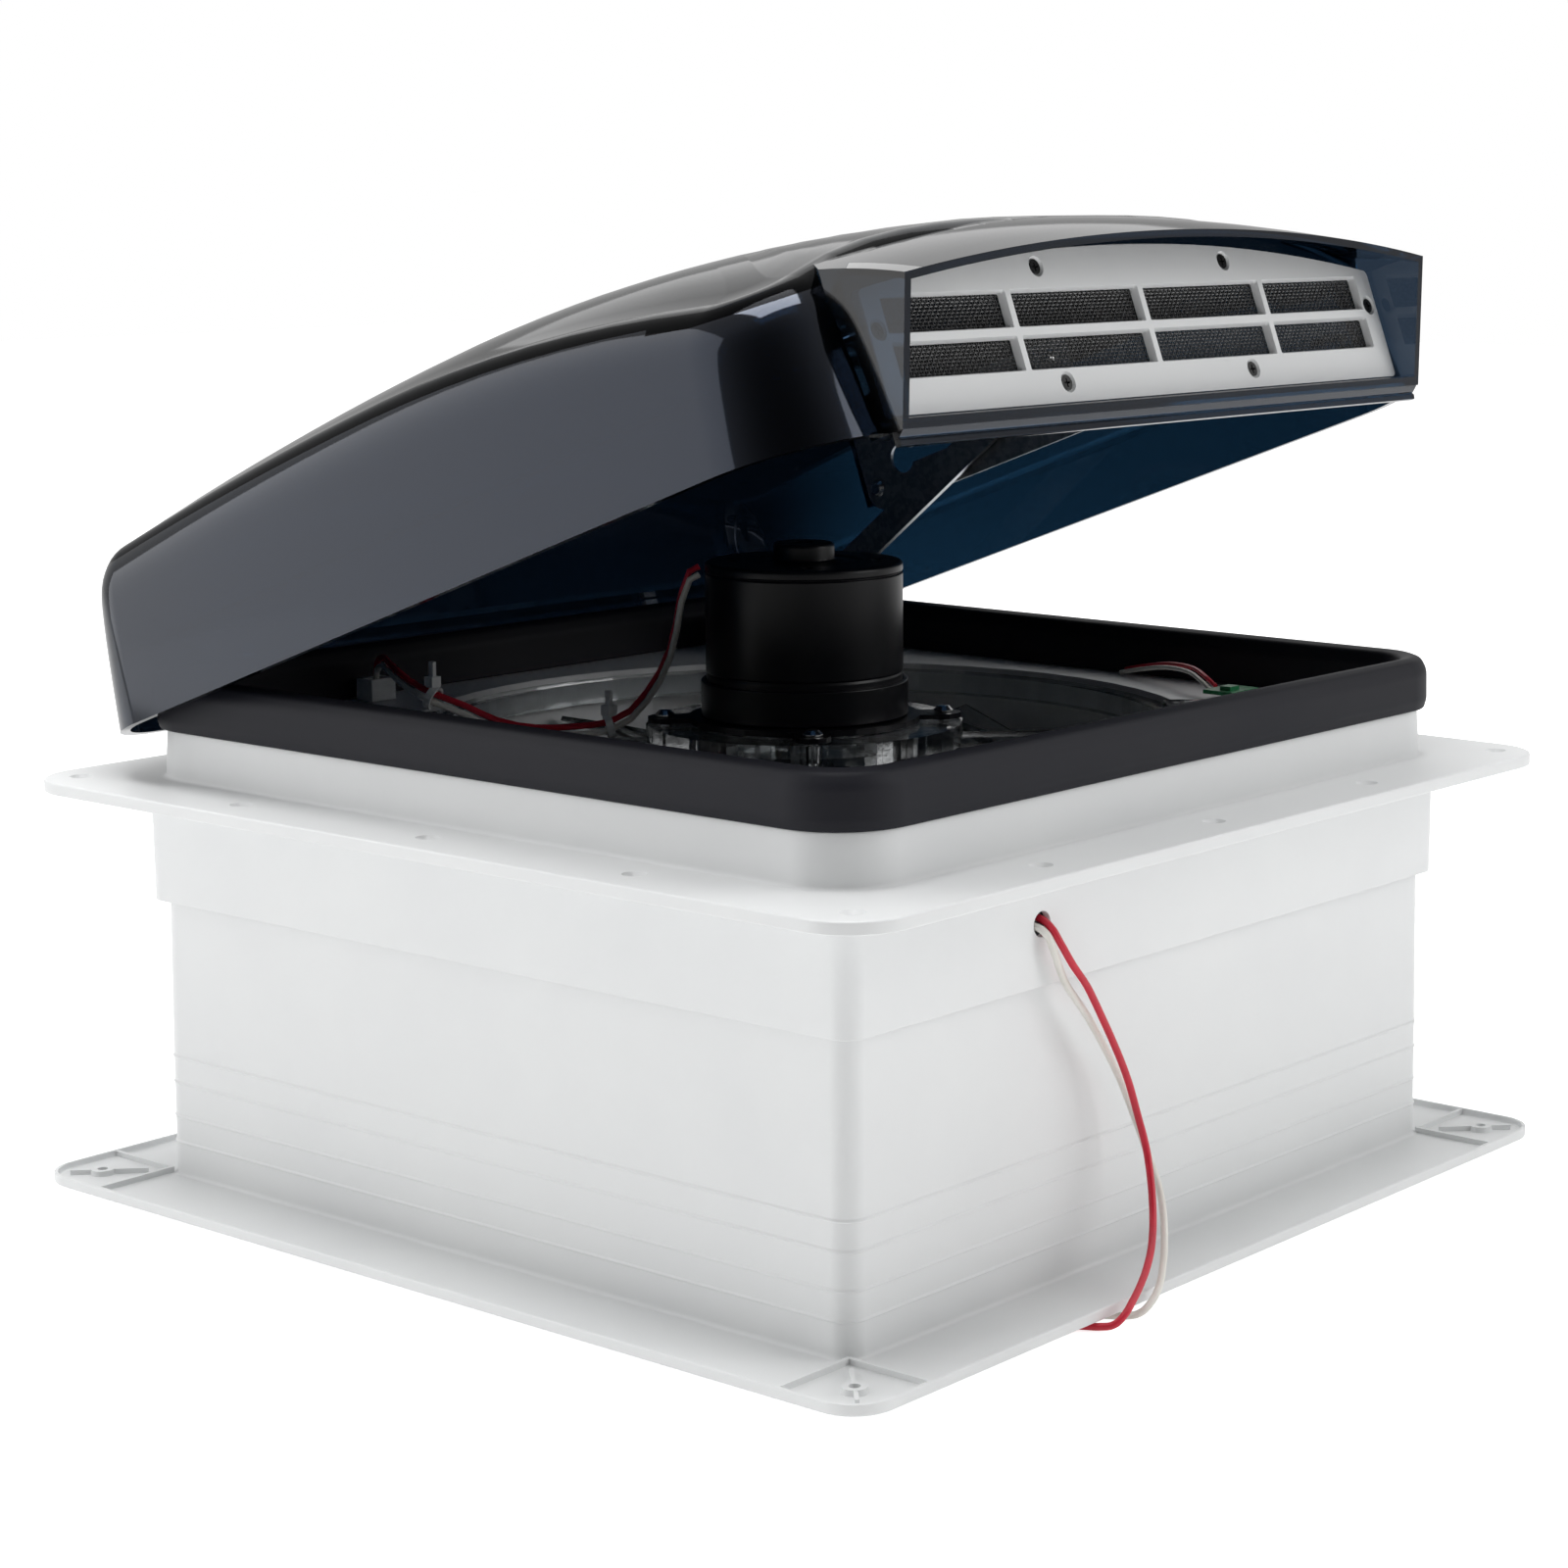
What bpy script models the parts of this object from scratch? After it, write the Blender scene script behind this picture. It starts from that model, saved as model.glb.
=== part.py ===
"""Roof vent fan for a square roof opening: hinged rain lid, lifter, fan and ceiling trim.

Units are metres, +Z is up. The origin is on the ground under the middle of the base.
The lid hinge runs along X at the rear (+Y); the grille hood is at the front (-Y).
The lid stands open at LID_OPEN, and every lid piece hangs under one pivot empty.
"""
import math

import bpy
import bmesh
from mathutils import Matrix, Vector

# ---------------------------------------------------------------- driving sizes
GAP = 0.0004                 # clearance left between touching pieces
WALL = 0.0025                # moulded wall of base and trim

TRIM_HALF = 0.2060           # ceiling trim flange, half width
TRIM_CORNER = 0.0150
TRIM_PLATE_TOP = 0.0050
TRIM_RIM_TOP = 0.0074
TRIM_LIP = 0.0032            # height of the raised outer edge over the ground
TRIM_FOOT = 0.1800           # half width of the flat foot inside that edge
SLEEVE_HALF = 0.1716
SLEEVE_TOP = 0.1200
SLEEVE_SHELF = 0.0940        # ledge that the interior screen snaps onto
BOSS_PLACE = 0.1890          # trim screw bosses, from the middle

FLANGE_HALF = 0.2068         # roof flange
FLANGE_CORNER = 0.0220
FLANGE_LOW = 0.1534
FLANGE_TOP = 0.1580
FLANGE_HOLES = (-0.191, -0.098, 0.0, 0.098, 0.191)
HOLE_RADIUS = 0.0022
NECK_HALF = 0.1750
NECK_LOW = 0.1110
COLLAR_HALF = 0.1760
COLLAR_CORNER = 0.0250
COLLAR_TOP = 0.1765
LEAD_HOLE = Vector((-0.0770, -0.1750, 0.1325))
LEAD_HOLE_RADIUS = 0.0045

SEAL_OUT = 0.1788
SEAL_IN = 0.1662
SEAL_TOP = 0.1970

DECK_HALF = 0.1708
DECK_TOP = 0.1762
DECK_THICK = 0.0026
DUCT_RADIUS = 0.1480         # round fan opening
DUCT_LOW = 0.1400

MOTOR_RADIUS = 0.0375
MOTOR_LOW = 0.1775
MOTOR_TOP = 0.2360
MOTOR_BOSS = 0.2430
BOLT_PLACE = 0.0375          # motor screws, on the diagonals
BRACKET_LOW = 0.1660
BRACKET_TOP = 0.1745
SPOKE_LOW = 0.1640           # the bracket's four arms and its outer ring
SPOKE_TOP = 0.1680
BLADE_COUNT = 10
BLADE_RADIUS = 0.1420
SHAFT_RADIUS = 0.0035

LID_OPEN = math.radians(20.0)
HINGE = Vector((0.0, 0.1828, 0.1760))
HINGE_PLACES = {"left": -0.110, "right": 0.110}
LID_HALF = 0.1880            # lid frame: X, run forward of the hinge, rise over the hinge
LID_REAR = -0.0085
LID_FRONT = 0.3720
LID_RIM = -0.0030
LID_SKIN = 0.0030
CROWN_RISE = 0.0989
CROWN_RUN = 0.1700           # highest point, forward of the hinge
CROWN_SPAN = 0.2000          # run over which the crown drops by the two amounts below
FRONT_DROP = 0.0290
REAR_DROP = 0.0115
SIDE_DROP = 0.0320           # drop at SIDE_PLACE, which steepens with SIDE_POWER
SIDE_PLACE = 0.1750
SIDE_POWER = 3.2
NOSE_RUN = 0.3370            # the crown bends down more steeply ahead of here
NOSE_BEND = 1.73
HOOD_HALF = 0.1510
HOOD_ARCH = 0.0125           # drop of the hood roof from its middle to its sides, at the mouth
HOOD_FALL = 0.10             # how much that drop grows per unit of run behind the mouth
HOOD_MOUTH = 0.4065          # run of the mouth's upper corners
HOOD_SHOULDER = 0.1294       # outside this X the hood's rear corners are cut off
HOOD_CHAMFER = 0.97          # run that the cut corner gains per unit of X
HOOD_LOW = -0.0045
HOOD_FRONT = 0.3819
HOOD_LEAN = 0.39             # forward lean of the hood mouth per unit of rise
GRILLE_FACE = 0.3735
GRILLE_THICK = 0.0030
GRILLE_HALF = 0.1465
MULLIONS = (-0.0735, 0.0, 0.0735)
GRILLE_ROWS = ((0.0134, 0.0244), (0.0284, 0.0404))
GRILLE_SCREWS = ((-0.0545, 0.0486), (0.0545, 0.0486), (-0.1415, 0.0293),
                 (0.1415, 0.0293), (-0.0545, 0.0080), (0.0545, 0.0080))

ARM_X = 0.1215               # inner face of the lift arm
ARM_THICK = 0.0025
ARM_PIVOT = Vector((0.0, 0.1275, 0.1835))
ARM_LENGTH = 0.1600
ARM_HALF = 0.0060
SLOT_RISE = 0.0400           # slide slot, in the lid frame
TRACK_X = 0.1262
TRACK_THICK = 0.0015
SECTOR_RADIUS = 0.0100
WORM_RADIUS = 0.0036
WORM_X = ARM_X + ARM_THICK / 2
WORM_Y = ARM_PIVOT.y + SECTOR_RADIUS + WORM_RADIUS + 0.0005
TRACK_SCREWS = ((0.130, 0.0320), (0.235, 0.0560))   # run and rise in the lid frame

LEAD_RADIUS = 0.0013
MOTOR_LEAD_RADIUS = 0.00125
SENSOR_LEAD_RADIUS = 0.0009
TIE_BORE = 0.0037

# ---------------------------------------------------------------- scene set-up
for old in list(bpy.data.objects):
    bpy.data.objects.remove(old, do_unlink=True)

parts = bpy.data.collections.new("roof_vent_fan")
tools = bpy.data.collections.new("cutters")
bpy.context.scene.collection.children.link(parts)
bpy.context.scene.collection.children.link(tools)


def material(name, colour, roughness, metallic=0.0, alpha=1.0):
    made = bpy.data.materials.new(name)
    made.use_nodes = True
    shader = made.node_tree.nodes["Principled BSDF"]
    shader.inputs["Base Color"].default_value = (*colour, 1.0)
    shader.inputs["Roughness"].default_value = roughness
    shader.inputs["Metallic"].default_value = metallic
    shader.inputs["Alpha"].default_value = alpha
    return made


WHITE = material("white_plastic", (0.80, 0.80, 0.78), 0.45)
SMOKE = material("smoke_acrylic", (0.02, 0.03, 0.05), 0.12, alpha=0.85)
CLEAR = material("clear_polycarbonate", (0.75, 0.78, 0.80), 0.10, alpha=0.45)
RUBBER = material("seal_rubber", (0.03, 0.03, 0.04), 0.70)
BLACK_METAL = material("black_motor_paint", (0.02, 0.02, 0.02), 0.40, 0.3)
STEEL = material("zinc_steel", (0.55, 0.56, 0.58), 0.35, 1.0)
CHROME = material("screw_chrome", (0.70, 0.70, 0.70), 0.20, 1.0)
BLACK_SCREW = material("black_screw", (0.03, 0.03, 0.03), 0.40, 0.8)
MESH_BLACK = material("screen_mesh", (0.03, 0.03, 0.03), 0.60)
COPPER = material("winding_copper", (0.60, 0.28, 0.12), 0.35, 1.0)
MAGNET = material("ferrite", (0.12, 0.12, 0.13), 0.60)
BRASS = material("brass", (0.70, 0.50, 0.20), 0.30, 1.0)
GREEN = material("circuit_board", (0.02, 0.20, 0.08), 0.40)
RED_WIRE = material("red_wire", (0.60, 0.02, 0.05), 0.45)
WHITE_WIRE = material("white_wire", (0.80, 0.78, 0.72), 0.45)
NYLON = material("natural_nylon", (0.75, 0.77, 0.78), 0.40)
GREY = material("grey_plastic", (0.45, 0.46, 0.47), 0.50)


# ---------------------------------------------------------------- builders
def add_object(name, mesh, collection=parts):
    made = bpy.data.objects.new(name, mesh)
    collection.objects.link(made)
    return made


def as_tool(obj):
    """Keeps a cutter, or a shape that another object takes in, out of the model."""
    for home in list(obj.users_collection):
        home.objects.unlink(obj)
    tools.objects.link(obj)
    obj.hide_render = True
    obj.display_type = "WIRE"
    return obj


def from_bmesh(name, shape, mat=None):
    bmesh.ops.recalc_face_normals(shape, faces=shape.faces)
    mesh = bpy.data.meshes.new(name)
    shape.to_mesh(mesh)
    shape.free()
    made = add_object(name, mesh)
    if mat:
        mesh.materials.append(mat)
    return made


def box(name, low, high, mat=None):
    shape = bmesh.new()
    bmesh.ops.create_cube(shape, size=1.0)
    low, high = Vector(low), Vector(high)
    size = high - low
    bmesh.ops.scale(shape, vec=size, verts=shape.verts)
    bmesh.ops.translate(shape, vec=(low + high) / 2, verts=shape.verts)
    return from_bmesh(name, shape, mat)


def cylinder(name, start, end, radius, mat=None, end_radius=None, sides=24):
    start, end = Vector(start), Vector(end)
    shape = bmesh.new()
    bmesh.ops.create_cone(shape, cap_ends=True, segments=sides, radius1=radius,
                          radius2=radius if end_radius is None else end_radius,
                          depth=(end - start).length)
    turn = Vector((0, 0, 1)).rotation_difference(end - start).to_matrix().to_4x4()
    place = Matrix.Translation((start + end) / 2) @ turn
    bmesh.ops.transform(shape, matrix=place, verts=shape.verts)
    made = from_bmesh(name, shape, mat)
    made.data.set_sharp_from_angle(angle=math.radians(40))
    return made


def loft(name, rings, mat=None, closed=False):
    """Joins rings of equal length; a closed loft runs round to its first ring."""
    shape = bmesh.new()
    rows = [[shape.verts.new(point) for point in ring] for ring in rings]
    count = len(rows[0])
    pairs = list(zip(rows, rows[1:]))
    if closed:
        pairs.append((rows[-1], rows[0]))
    else:
        shape.faces.new(rows[0])
        shape.faces.new(rows[-1])
    for low, high in pairs:
        for i in range(count):
            j = (i + 1) % count
            shape.faces.new((low[i], low[j], high[j], high[i]))
    return from_bmesh(name, shape, mat)


def turned(name, profile, mat, steps=32, place=(0, 0, 0)):
    """A closed (radius, height) profile, listed down its outer side, turned about Z."""
    mesh = bpy.data.meshes.new(name)
    count = len(profile)
    on_axis = profile[0][0] == 0.0
    edges = [(i, i + 1) for i in range(count - 1)]
    if not on_axis:
        edges.append((count - 1, 0))
    mesh.from_pydata([(r, 0.0, z) for r, z in profile], edges, [])
    made = add_object(name, mesh)
    mesh.materials.append(mat)
    made.location = place
    screw = made.modifiers.new("turn", "SCREW")
    screw.steps = steps
    screw.render_steps = steps
    screw.use_merge_vertices = True
    screw.merge_threshold = 0.00001
    screw.use_smooth_shade = True
    return made


def ring(name, outer, inner, low, high, mat, place=(0, 0), steps=32):
    profile = [(outer, high), (outer, low), (inner, low), (inner, high)]
    return turned(name, profile, mat, steps, (place[0], place[1], 0.0))


def combine(obj, other, operation):
    change = obj.modifiers.new(operation.lower(), "BOOLEAN")
    change.operation = operation
    change.solver = "EXACT"
    change.object = as_tool(other)


def cut(obj, *others):
    for other in others:
        combine(obj, other, "DIFFERENCE")


def join(obj, *others):
    for other in others:
        combine(obj, other, "UNION")


def round_outline(half, front, rear, front_corner, rear_corner, arc=4, straight=1):
    """Points round a rectangle with arc corners: front is -Y and rear is +Y."""
    corners = ((half, front, front_corner, -90), (half, rear, rear_corner, 0),
               (-half, rear, rear_corner, 90), (-half, front, front_corner, 180))
    points = []
    for x, y, radius, start in corners:
        centre = Vector((x - math.copysign(radius, x), y - math.copysign(radius, y)))
        for step in range(arc + 1):
            angle = math.radians(start + 90.0 * step / arc)
            points.append(centre + radius * Vector((math.cos(angle), math.sin(angle))))
    if straight == 1:
        return points
    filled = []
    for i, point in enumerate(points):
        filled.append(point)
        if i % (arc + 1) == arc:
            following = points[(i + 1) % len(points)]
            for step in range(1, straight):
                filled.append(point.lerp(following, step / straight))
    return filled


def square_ring(name, stations, mat):
    """A moulding that runs round a square: stations are (half width, corner radius, height)."""
    rings = []
    for half, corner, z in stations:
        outline = round_outline(half, -half, half, corner, corner)
        rings.append([(p.x, p.y, z) for p in outline])
    return loft(name, rings, mat, closed=True)


def plate(name, outline, low, high, mat=None):
    """A flat (x, y) outline between two heights."""
    return loft(name, [[(p[0], p[1], z) for p in outline] for z in (low, high)], mat)


def side_plate(name, outline, low, high, mat=None):
    """A flat (y, z) outline between two X positions."""
    return loft(name, [[(x, p[0], p[1]) for p in outline] for x in (low, high)], mat)


def smooth_route(points, spacing):
    """Points along a Catmull-Rom curve through the route, about one spacing apart."""
    ends = [2 * points[0] - points[1], *points, 2 * points[-1] - points[-2]]
    route = []
    for before, start, end, after in zip(ends, ends[1:], ends[2:], ends[3:]):
        count = max(1, round((end - start).length / spacing))
        for step in range(count):
            t = step / count
            route.append(0.5 * (2 * start + (end - before) * t
                                + (2 * before - 5 * start + 4 * end - after) * t ** 2
                                + (3 * start - before - 3 * end + after) * t ** 3))
    route.append(points[-1])
    return route


def wire(name, points, radius, mat):
    route = smooth_route([Vector(p) for p in points], 6.0 * radius)
    curve = bpy.data.curves.new(name, "CURVE")
    curve.dimensions = "3D"
    curve.bevel_depth = radius
    curve.bevel_resolution = 2
    curve.use_fill_caps = True
    spline = curve.splines.new("POLY")
    spline.points.add(len(route) - 1)
    for slot, point in zip(spline.points, route):
        slot.co = (*point, 1.0)
    curve.materials.append(mat)
    return add_object(name, curve)


# ---------------------------------------------------------------- ceiling trim
def trim_frame():
    inner = SLEEVE_HALF - WALL
    frame = square_ring("trim_frame", [
        (SLEEVE_HALF - 0.0004, 0.0080, SLEEVE_TOP),
        (SLEEVE_HALF, 0.0080, TRIM_PLATE_TOP),
        (TRIM_HALF - 0.0016, TRIM_CORNER - 0.0016, TRIM_PLATE_TOP),
        (TRIM_HALF - 0.0016, TRIM_CORNER - 0.0016, TRIM_RIM_TOP),
        (TRIM_HALF, TRIM_CORNER, TRIM_RIM_TOP),
        (TRIM_HALF, TRIM_CORNER, TRIM_LIP),
        (TRIM_FOOT + TRIM_LIP, 0.0120, TRIM_LIP),
        (TRIM_FOOT, 0.0110, 0.0),
        (inner, 0.0060, 0.0),
        (inner, 0.0060, SLEEVE_SHELF - 0.0030),
        (inner - 0.0040, 0.0040, SLEEVE_SHELF - 0.0010),
        (inner - 0.0040, 0.0040, SLEEVE_SHELF),
        (inner, 0.0060, SLEEVE_SHELF + 0.0002),
        (inner - 0.0004, 0.0060, SLEEVE_TOP),
    ], WHITE)
    for sx in (-1, 1):
        for sy in (-1, 1):
            tag = f"{sx}_{sy}"
            post = cylinder(f"trim_boss_{tag}", (sx * BOSS_PLACE, sy * BOSS_PLACE, 0.0042),
                            (sx * BOSS_PLACE, sy * BOSS_PLACE, TRIM_RIM_TOP - 0.0004), 0.0042)
            reach = TRIM_HALF - 0.0008
            root = SLEEVE_HALF - 0.0010
            rib_top = TRIM_RIM_TOP - 0.0003
            along_x = box(f"trim_rib_x_{tag}", (min(sx * root, sx * reach), sy * root - 0.0007, 0.0043),
                          (max(sx * root, sx * reach), sy * root + 0.0007, rib_top))
            along_y = box(f"trim_rib_y_{tag}", (sx * root - 0.0007, min(sy * root, sy * reach), 0.0044),
                          (sx * root + 0.0007, max(sy * root, sy * reach), rib_top - 0.0001))
            across = box(f"trim_rib_d_{tag}", (-0.0170, -0.0007, 0.0045), (0.0120, 0.0007, rib_top - 0.0002))
            across.location = (sx * BOSS_PLACE, sy * BOSS_PLACE, 0.0)
            across.rotation_euler.z = math.atan2(sy, sx)
            join(frame, along_x, along_y, across, post)
            cut(frame, cylinder(f"trim_hole_{tag}", (sx * BOSS_PLACE, sy * BOSS_PLACE, -0.002),
                                (sx * BOSS_PLACE, sy * BOSS_PLACE, 0.012), 0.0020, sides=16))


def interior_screen():
    low = SLEEVE_SHELF + GAP
    high = low + 0.0060
    half = SLEEVE_HALF - WALL - 0.0008
    inner = half - 0.0150
    frame = square_ring("interior_screen_frame", [
        (half, 0.0060, high), (half, 0.0060, low), (inner, 0.0100, low), (inner, 0.0100, high)], WHITE)
    outline = round_outline(inner + 0.0060, -inner - 0.0060, inner + 0.0060, 0.0080, 0.0080)
    mesh = plate("interior_screen_mesh", outline, high + GAP, high + GAP + 0.0006, MESH_BLACK)
    for target in (frame, mesh):
        cut(target, cylinder(f"{target.name}_shaft_hole", (WORM_X, WORM_Y, 0.08),
                             (WORM_X, WORM_Y, 0.12), 0.0040))


# ---------------------------------------------------------------- roof base and seal
def roof_base():
    inner_neck = NECK_HALF - WALL
    inner_collar = DECK_HALF + 0.0005
    base = square_ring("roof_base", [
        (COLLAR_HALF - 0.0006, COLLAR_CORNER, COLLAR_TOP),
        (COLLAR_HALF, COLLAR_CORNER, FLANGE_TOP),
        (FLANGE_HALF - 0.0006, FLANGE_CORNER, FLANGE_TOP),
        (FLANGE_HALF, FLANGE_CORNER, FLANGE_TOP - 0.0006),
        (FLANGE_HALF, FLANGE_CORNER, FLANGE_LOW + 0.0006),
        (FLANGE_HALF - 0.0006, FLANGE_CORNER, FLANGE_LOW),
        (NECK_HALF + 0.0003, 0.0080, FLANGE_LOW),
        (NECK_HALF, 0.0080, NECK_LOW),
        (inner_neck, 0.0055, NECK_LOW),
        (inner_neck, 0.0055, FLANGE_LOW + 0.0010),
        (inner_collar, 0.0210, FLANGE_TOP + 0.0020),
        (inner_collar, 0.0210, COLLAR_TOP),
    ], WHITE)
    edge = FLANGE_HOLES[-1]
    places = {(x, y) for x in FLANGE_HOLES for y in FLANGE_HOLES if edge in (abs(x), abs(y))}
    for number, (x, y) in enumerate(sorted(places)):
        cut(base, cylinder(f"flange_hole_{number}", (x, y, 0.14), (x, y, 0.17), HOLE_RADIUS, sides=8))
    cut(base, cylinder("lead_hole", LEAD_HOLE + Vector((0, 0.02, 0)), LEAD_HOLE - Vector((0, 0.02, 0)),
                       LEAD_HOLE_RADIUS, sides=20))


def lid_seal():
    low = COLLAR_TOP + GAP
    square_ring("lid_seal", [
        (SEAL_OUT - 0.0006, 0.0270, low),
        (SEAL_OUT, 0.0275, low + 0.0030),
        (SEAL_OUT - 0.0004, 0.0270, SEAL_TOP - 0.0055),
        (SEAL_OUT - 0.0025, 0.0250, SEAL_TOP - 0.0015),
        (SEAL_OUT - 0.0060, 0.0215, SEAL_TOP),
        (SEAL_IN + 0.0025, 0.0180, SEAL_TOP - 0.0012),
        (SEAL_IN + 0.0003, 0.0155, SEAL_TOP - 0.0060),
        (SEAL_IN, 0.0150, low),
    ], RUBBER)


# ---------------------------------------------------------------- fan deck and motor bracket
def fan_deck():
    outline = round_outline(DECK_HALF, -DECK_HALF, DECK_HALF, 0.0205, 0.0205)
    deck = plate("fan_deck", outline, DECK_TOP - DECK_THICK, DECK_TOP, WHITE)
    join(deck, cylinder("duct_outer", (0, 0, DUCT_LOW), (0, 0, DECK_TOP - 0.0005), DUCT_RADIUS + 0.0025,
                        sides=48))
    cut(deck, cylinder("duct_inner", (0, 0, DUCT_LOW - 0.01), (0, 0, DECK_TOP + 0.01), DUCT_RADIUS,
                       sides=48))
    cut(deck, cylinder("worm_hole", (WORM_X, WORM_Y, 0.165), (WORM_X, WORM_Y, 0.185), 0.0042))


def motor_bracket():
    """Clear spider: hub ring with screw bosses, four arms, an outer ring and four deck tabs."""
    bracket = cylinder("motor_bracket", (0, 0, BRACKET_LOW), (0, 0, BRACKET_TOP), 0.0600, CLEAR, sides=36)
    outer = DUCT_RADIUS - 0.0015
    rim = ring("bracket_rim", outer, outer - 0.0090, SPOKE_LOW + 0.0015, BRACKET_TOP - 0.0003, CLEAR, steps=48)
    join(bracket, rim)
    for number, angle in enumerate((45, 135, 225, 315)):
        turn = math.radians(angle)
        arm = box(f"bracket_arm_{number}", (0.050, -0.0070, SPOKE_LOW), (outer - 0.0040, 0.0070, SPOKE_TOP))
        riser = box(f"bracket_riser_{number}", (outer - 0.0075, -0.0060, SPOKE_LOW + 0.0010),
                    (outer - 0.0006, 0.0060, DECK_TOP + 0.0030))
        tab = box(f"bracket_tab_{number}", (outer - 0.0070, -0.0061, DECK_TOP + GAP),
                  (outer + 0.0108, 0.0061, DECK_TOP + 0.0031))
        for piece in (arm, riser, tab):
            piece.rotation_euler.z = turn
        join(bracket, arm, riser, tab)
    for number, (x, y) in enumerate(bolt_places()):
        join(bracket, cylinder(f"bracket_boss_{number}", (x, y, BRACKET_LOW + 0.0005),
                               (x, y, BRACKET_TOP - 0.0002), 0.0075, sides=14))
    cut(bracket, cylinder("bracket_bore", (0, 0, 0.15), (0, 0, 0.20), 0.0300, sides=32))
    for number, (x, y) in enumerate(bolt_places()):
        cut(bracket, cylinder(f"bracket_bolt_{number}", (x, y, 0.15), (x, y, 0.20), 0.0020, sides=8))


def bolt_places():
    return [(sx * BOLT_PLACE, sy * BOLT_PLACE) for sx in (-1, 1) for sy in (-1, 1)]


# ---------------------------------------------------------------- motor and fan
def motor():
    wall = 0.0015
    boss = 0.0115
    turned("motor_can", [
        (0.0, MOTOR_BOSS), (boss - 0.0015, MOTOR_BOSS), (boss, MOTOR_BOSS - 0.0015), (boss, MOTOR_TOP),
        (MOTOR_RADIUS - 0.0015, MOTOR_TOP), (MOTOR_RADIUS, MOTOR_TOP - 0.0015),
        (MOTOR_RADIUS, MOTOR_LOW), (MOTOR_RADIUS - wall, MOTOR_LOW),
        (MOTOR_RADIUS - wall, MOTOR_TOP - 0.0025), (boss - 0.0020, MOTOR_TOP - 0.0025),
        (boss - 0.0020, MOTOR_BOSS - 0.0020), (0.0, MOTOR_BOSS - 0.0020),
    ], BLACK_METAL, 32)
    ring("motor_band", MOTOR_RADIUS + 0.0019, MOTOR_RADIUS + 0.0003, MOTOR_LOW + 0.0002, 0.1910,
         BLACK_METAL, steps=32)
    flange_low = BRACKET_TOP + GAP
    flange_high = MOTOR_LOW - GAP
    flange = cylinder("motor_flange", (0, 0, flange_low), (0, 0, flange_high), 0.0440, BLACK_METAL, sides=32)
    for number, (x, y) in enumerate(bolt_places()):
        ear = cylinder(f"flange_ear_{number}", (x, y, flange_low + 0.0001), (x, y, flange_high - 0.0001),
                       0.0068, sides=12)
        neck = box(f"flange_neck_{number}", (0.0, -0.0068, flange_low + 0.0002),
                   (math.hypot(x, y), 0.0068, flange_high - 0.0002))
        neck.rotation_euler.z = math.atan2(y, x)
        join(flange, ear, neck)
    for number, (x, y) in enumerate(bolt_places()):
        cut(flange, cylinder(f"flange_bolt_{number}", (x, y, 0.17), (x, y, 0.18), 0.0020, sides=8))
    cut(flange, cylinder("flange_bore", (0, 0, 0.17), (0, 0, 0.18), 0.0090, sides=24))
    for number, (x, y) in enumerate(bolt_places(), 1):
        turned(f"motor_screw_{number}", [
            (0.0, flange_high + 0.0025), (0.0024, flange_high + 0.0022), (0.0038, flange_high + 0.0008),
            (0.0038, flange_high + 0.0003), (0.0016, flange_high + 0.0003), (0.0016, BRACKET_LOW + 0.001),
            (0.0, BRACKET_LOW + 0.001)], CHROME, 12, (x, y, 0.0))
    ring("motor_magnets", 0.0352, 0.0300, 0.1830, 0.2220, MAGNET, steps=24)
    turned("armature", [(0.0085, 0.2290), (0.0085, 0.2180), (0.0290, 0.2180), (0.0290, 0.1860),
                        (0.0039, 0.1860), (0.0039, 0.2290)], COPPER, 24)
    ring("brush_plate", 0.0350, 0.0105, 0.2235, 0.2262, GREY, steps=24)
    ring("upper_bearing", 0.0088, 0.0038, 0.2340, 0.2400, STEEL, steps=24)
    ring("lower_bearing", 0.0086, 0.0038, 0.1745, 0.1776, STEEL, steps=24)
    cylinder("motor_shaft", (0, 0, 0.1290), (0, 0, 0.2400), SHAFT_RADIUS, STEEL, sides=20)


def fan_blades():
    """Hub cup with ten twisted blades; the blades stand below the motor bracket."""
    hub = ring("fan_blades", 0.0270, 0.0039, 0.1420, 0.1640, CLEAR, steps=30)
    for number in range(BLADE_COUNT):
        turn = Matrix.Rotation(2 * math.pi * number / BLADE_COUNT, 4, "Z")
        sections = []
        for step in range(5):
            share = step / 4
            radius = 0.0240 + (BLADE_RADIUS - 0.0240) * share
            chord = 0.0150 + 0.0300 * share
            pitch = math.radians(38 - 16 * share)
            sweep = 0.10 * share
            half_thick = 0.0010
            middle = Vector((radius * math.cos(sweep), radius * math.sin(sweep), 0.1515))
            along = Vector((-math.sin(sweep), math.cos(sweep), 0.0)) * math.cos(pitch)
            along.z = math.sin(pitch)
            over = Vector((math.sin(sweep) * math.sin(pitch), -math.cos(sweep) * math.sin(pitch),
                           math.cos(pitch)))
            edge = chord / 2
            corners = ((-edge, -half_thick), (edge, -half_thick), (edge, half_thick), (-edge, half_thick))
            sections.append([turn @ (middle + along * a + over * b) for a, b in corners])
        join(hub, loft(f"blade_{number}", sections))
    nut_low = 0.1370
    nut = cylinder("hub_nut", (0, 0, nut_low), (0, 0, 0.1415), 0.0075, BRASS, sides=6)
    cut(nut, cylinder("nut_bore", (0, 0, 0.13), (0, 0, 0.15), 0.0039))


# ---------------------------------------------------------------- lid
pivot = bpy.data.objects.new("lid_pivot", None)
parts.objects.link(pivot)
pivot.location = HINGE
pivot.rotation_euler.x = -LID_OPEN


def on_lid(*pieces):
    """Hangs pieces made in the lid frame, and everything that shapes them, on the hinge axis."""
    for piece in pieces:
        piece.parent = pivot
        for change in piece.modifiers:
            if change.type == "BOOLEAN":
                on_lid(change.object)


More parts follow.
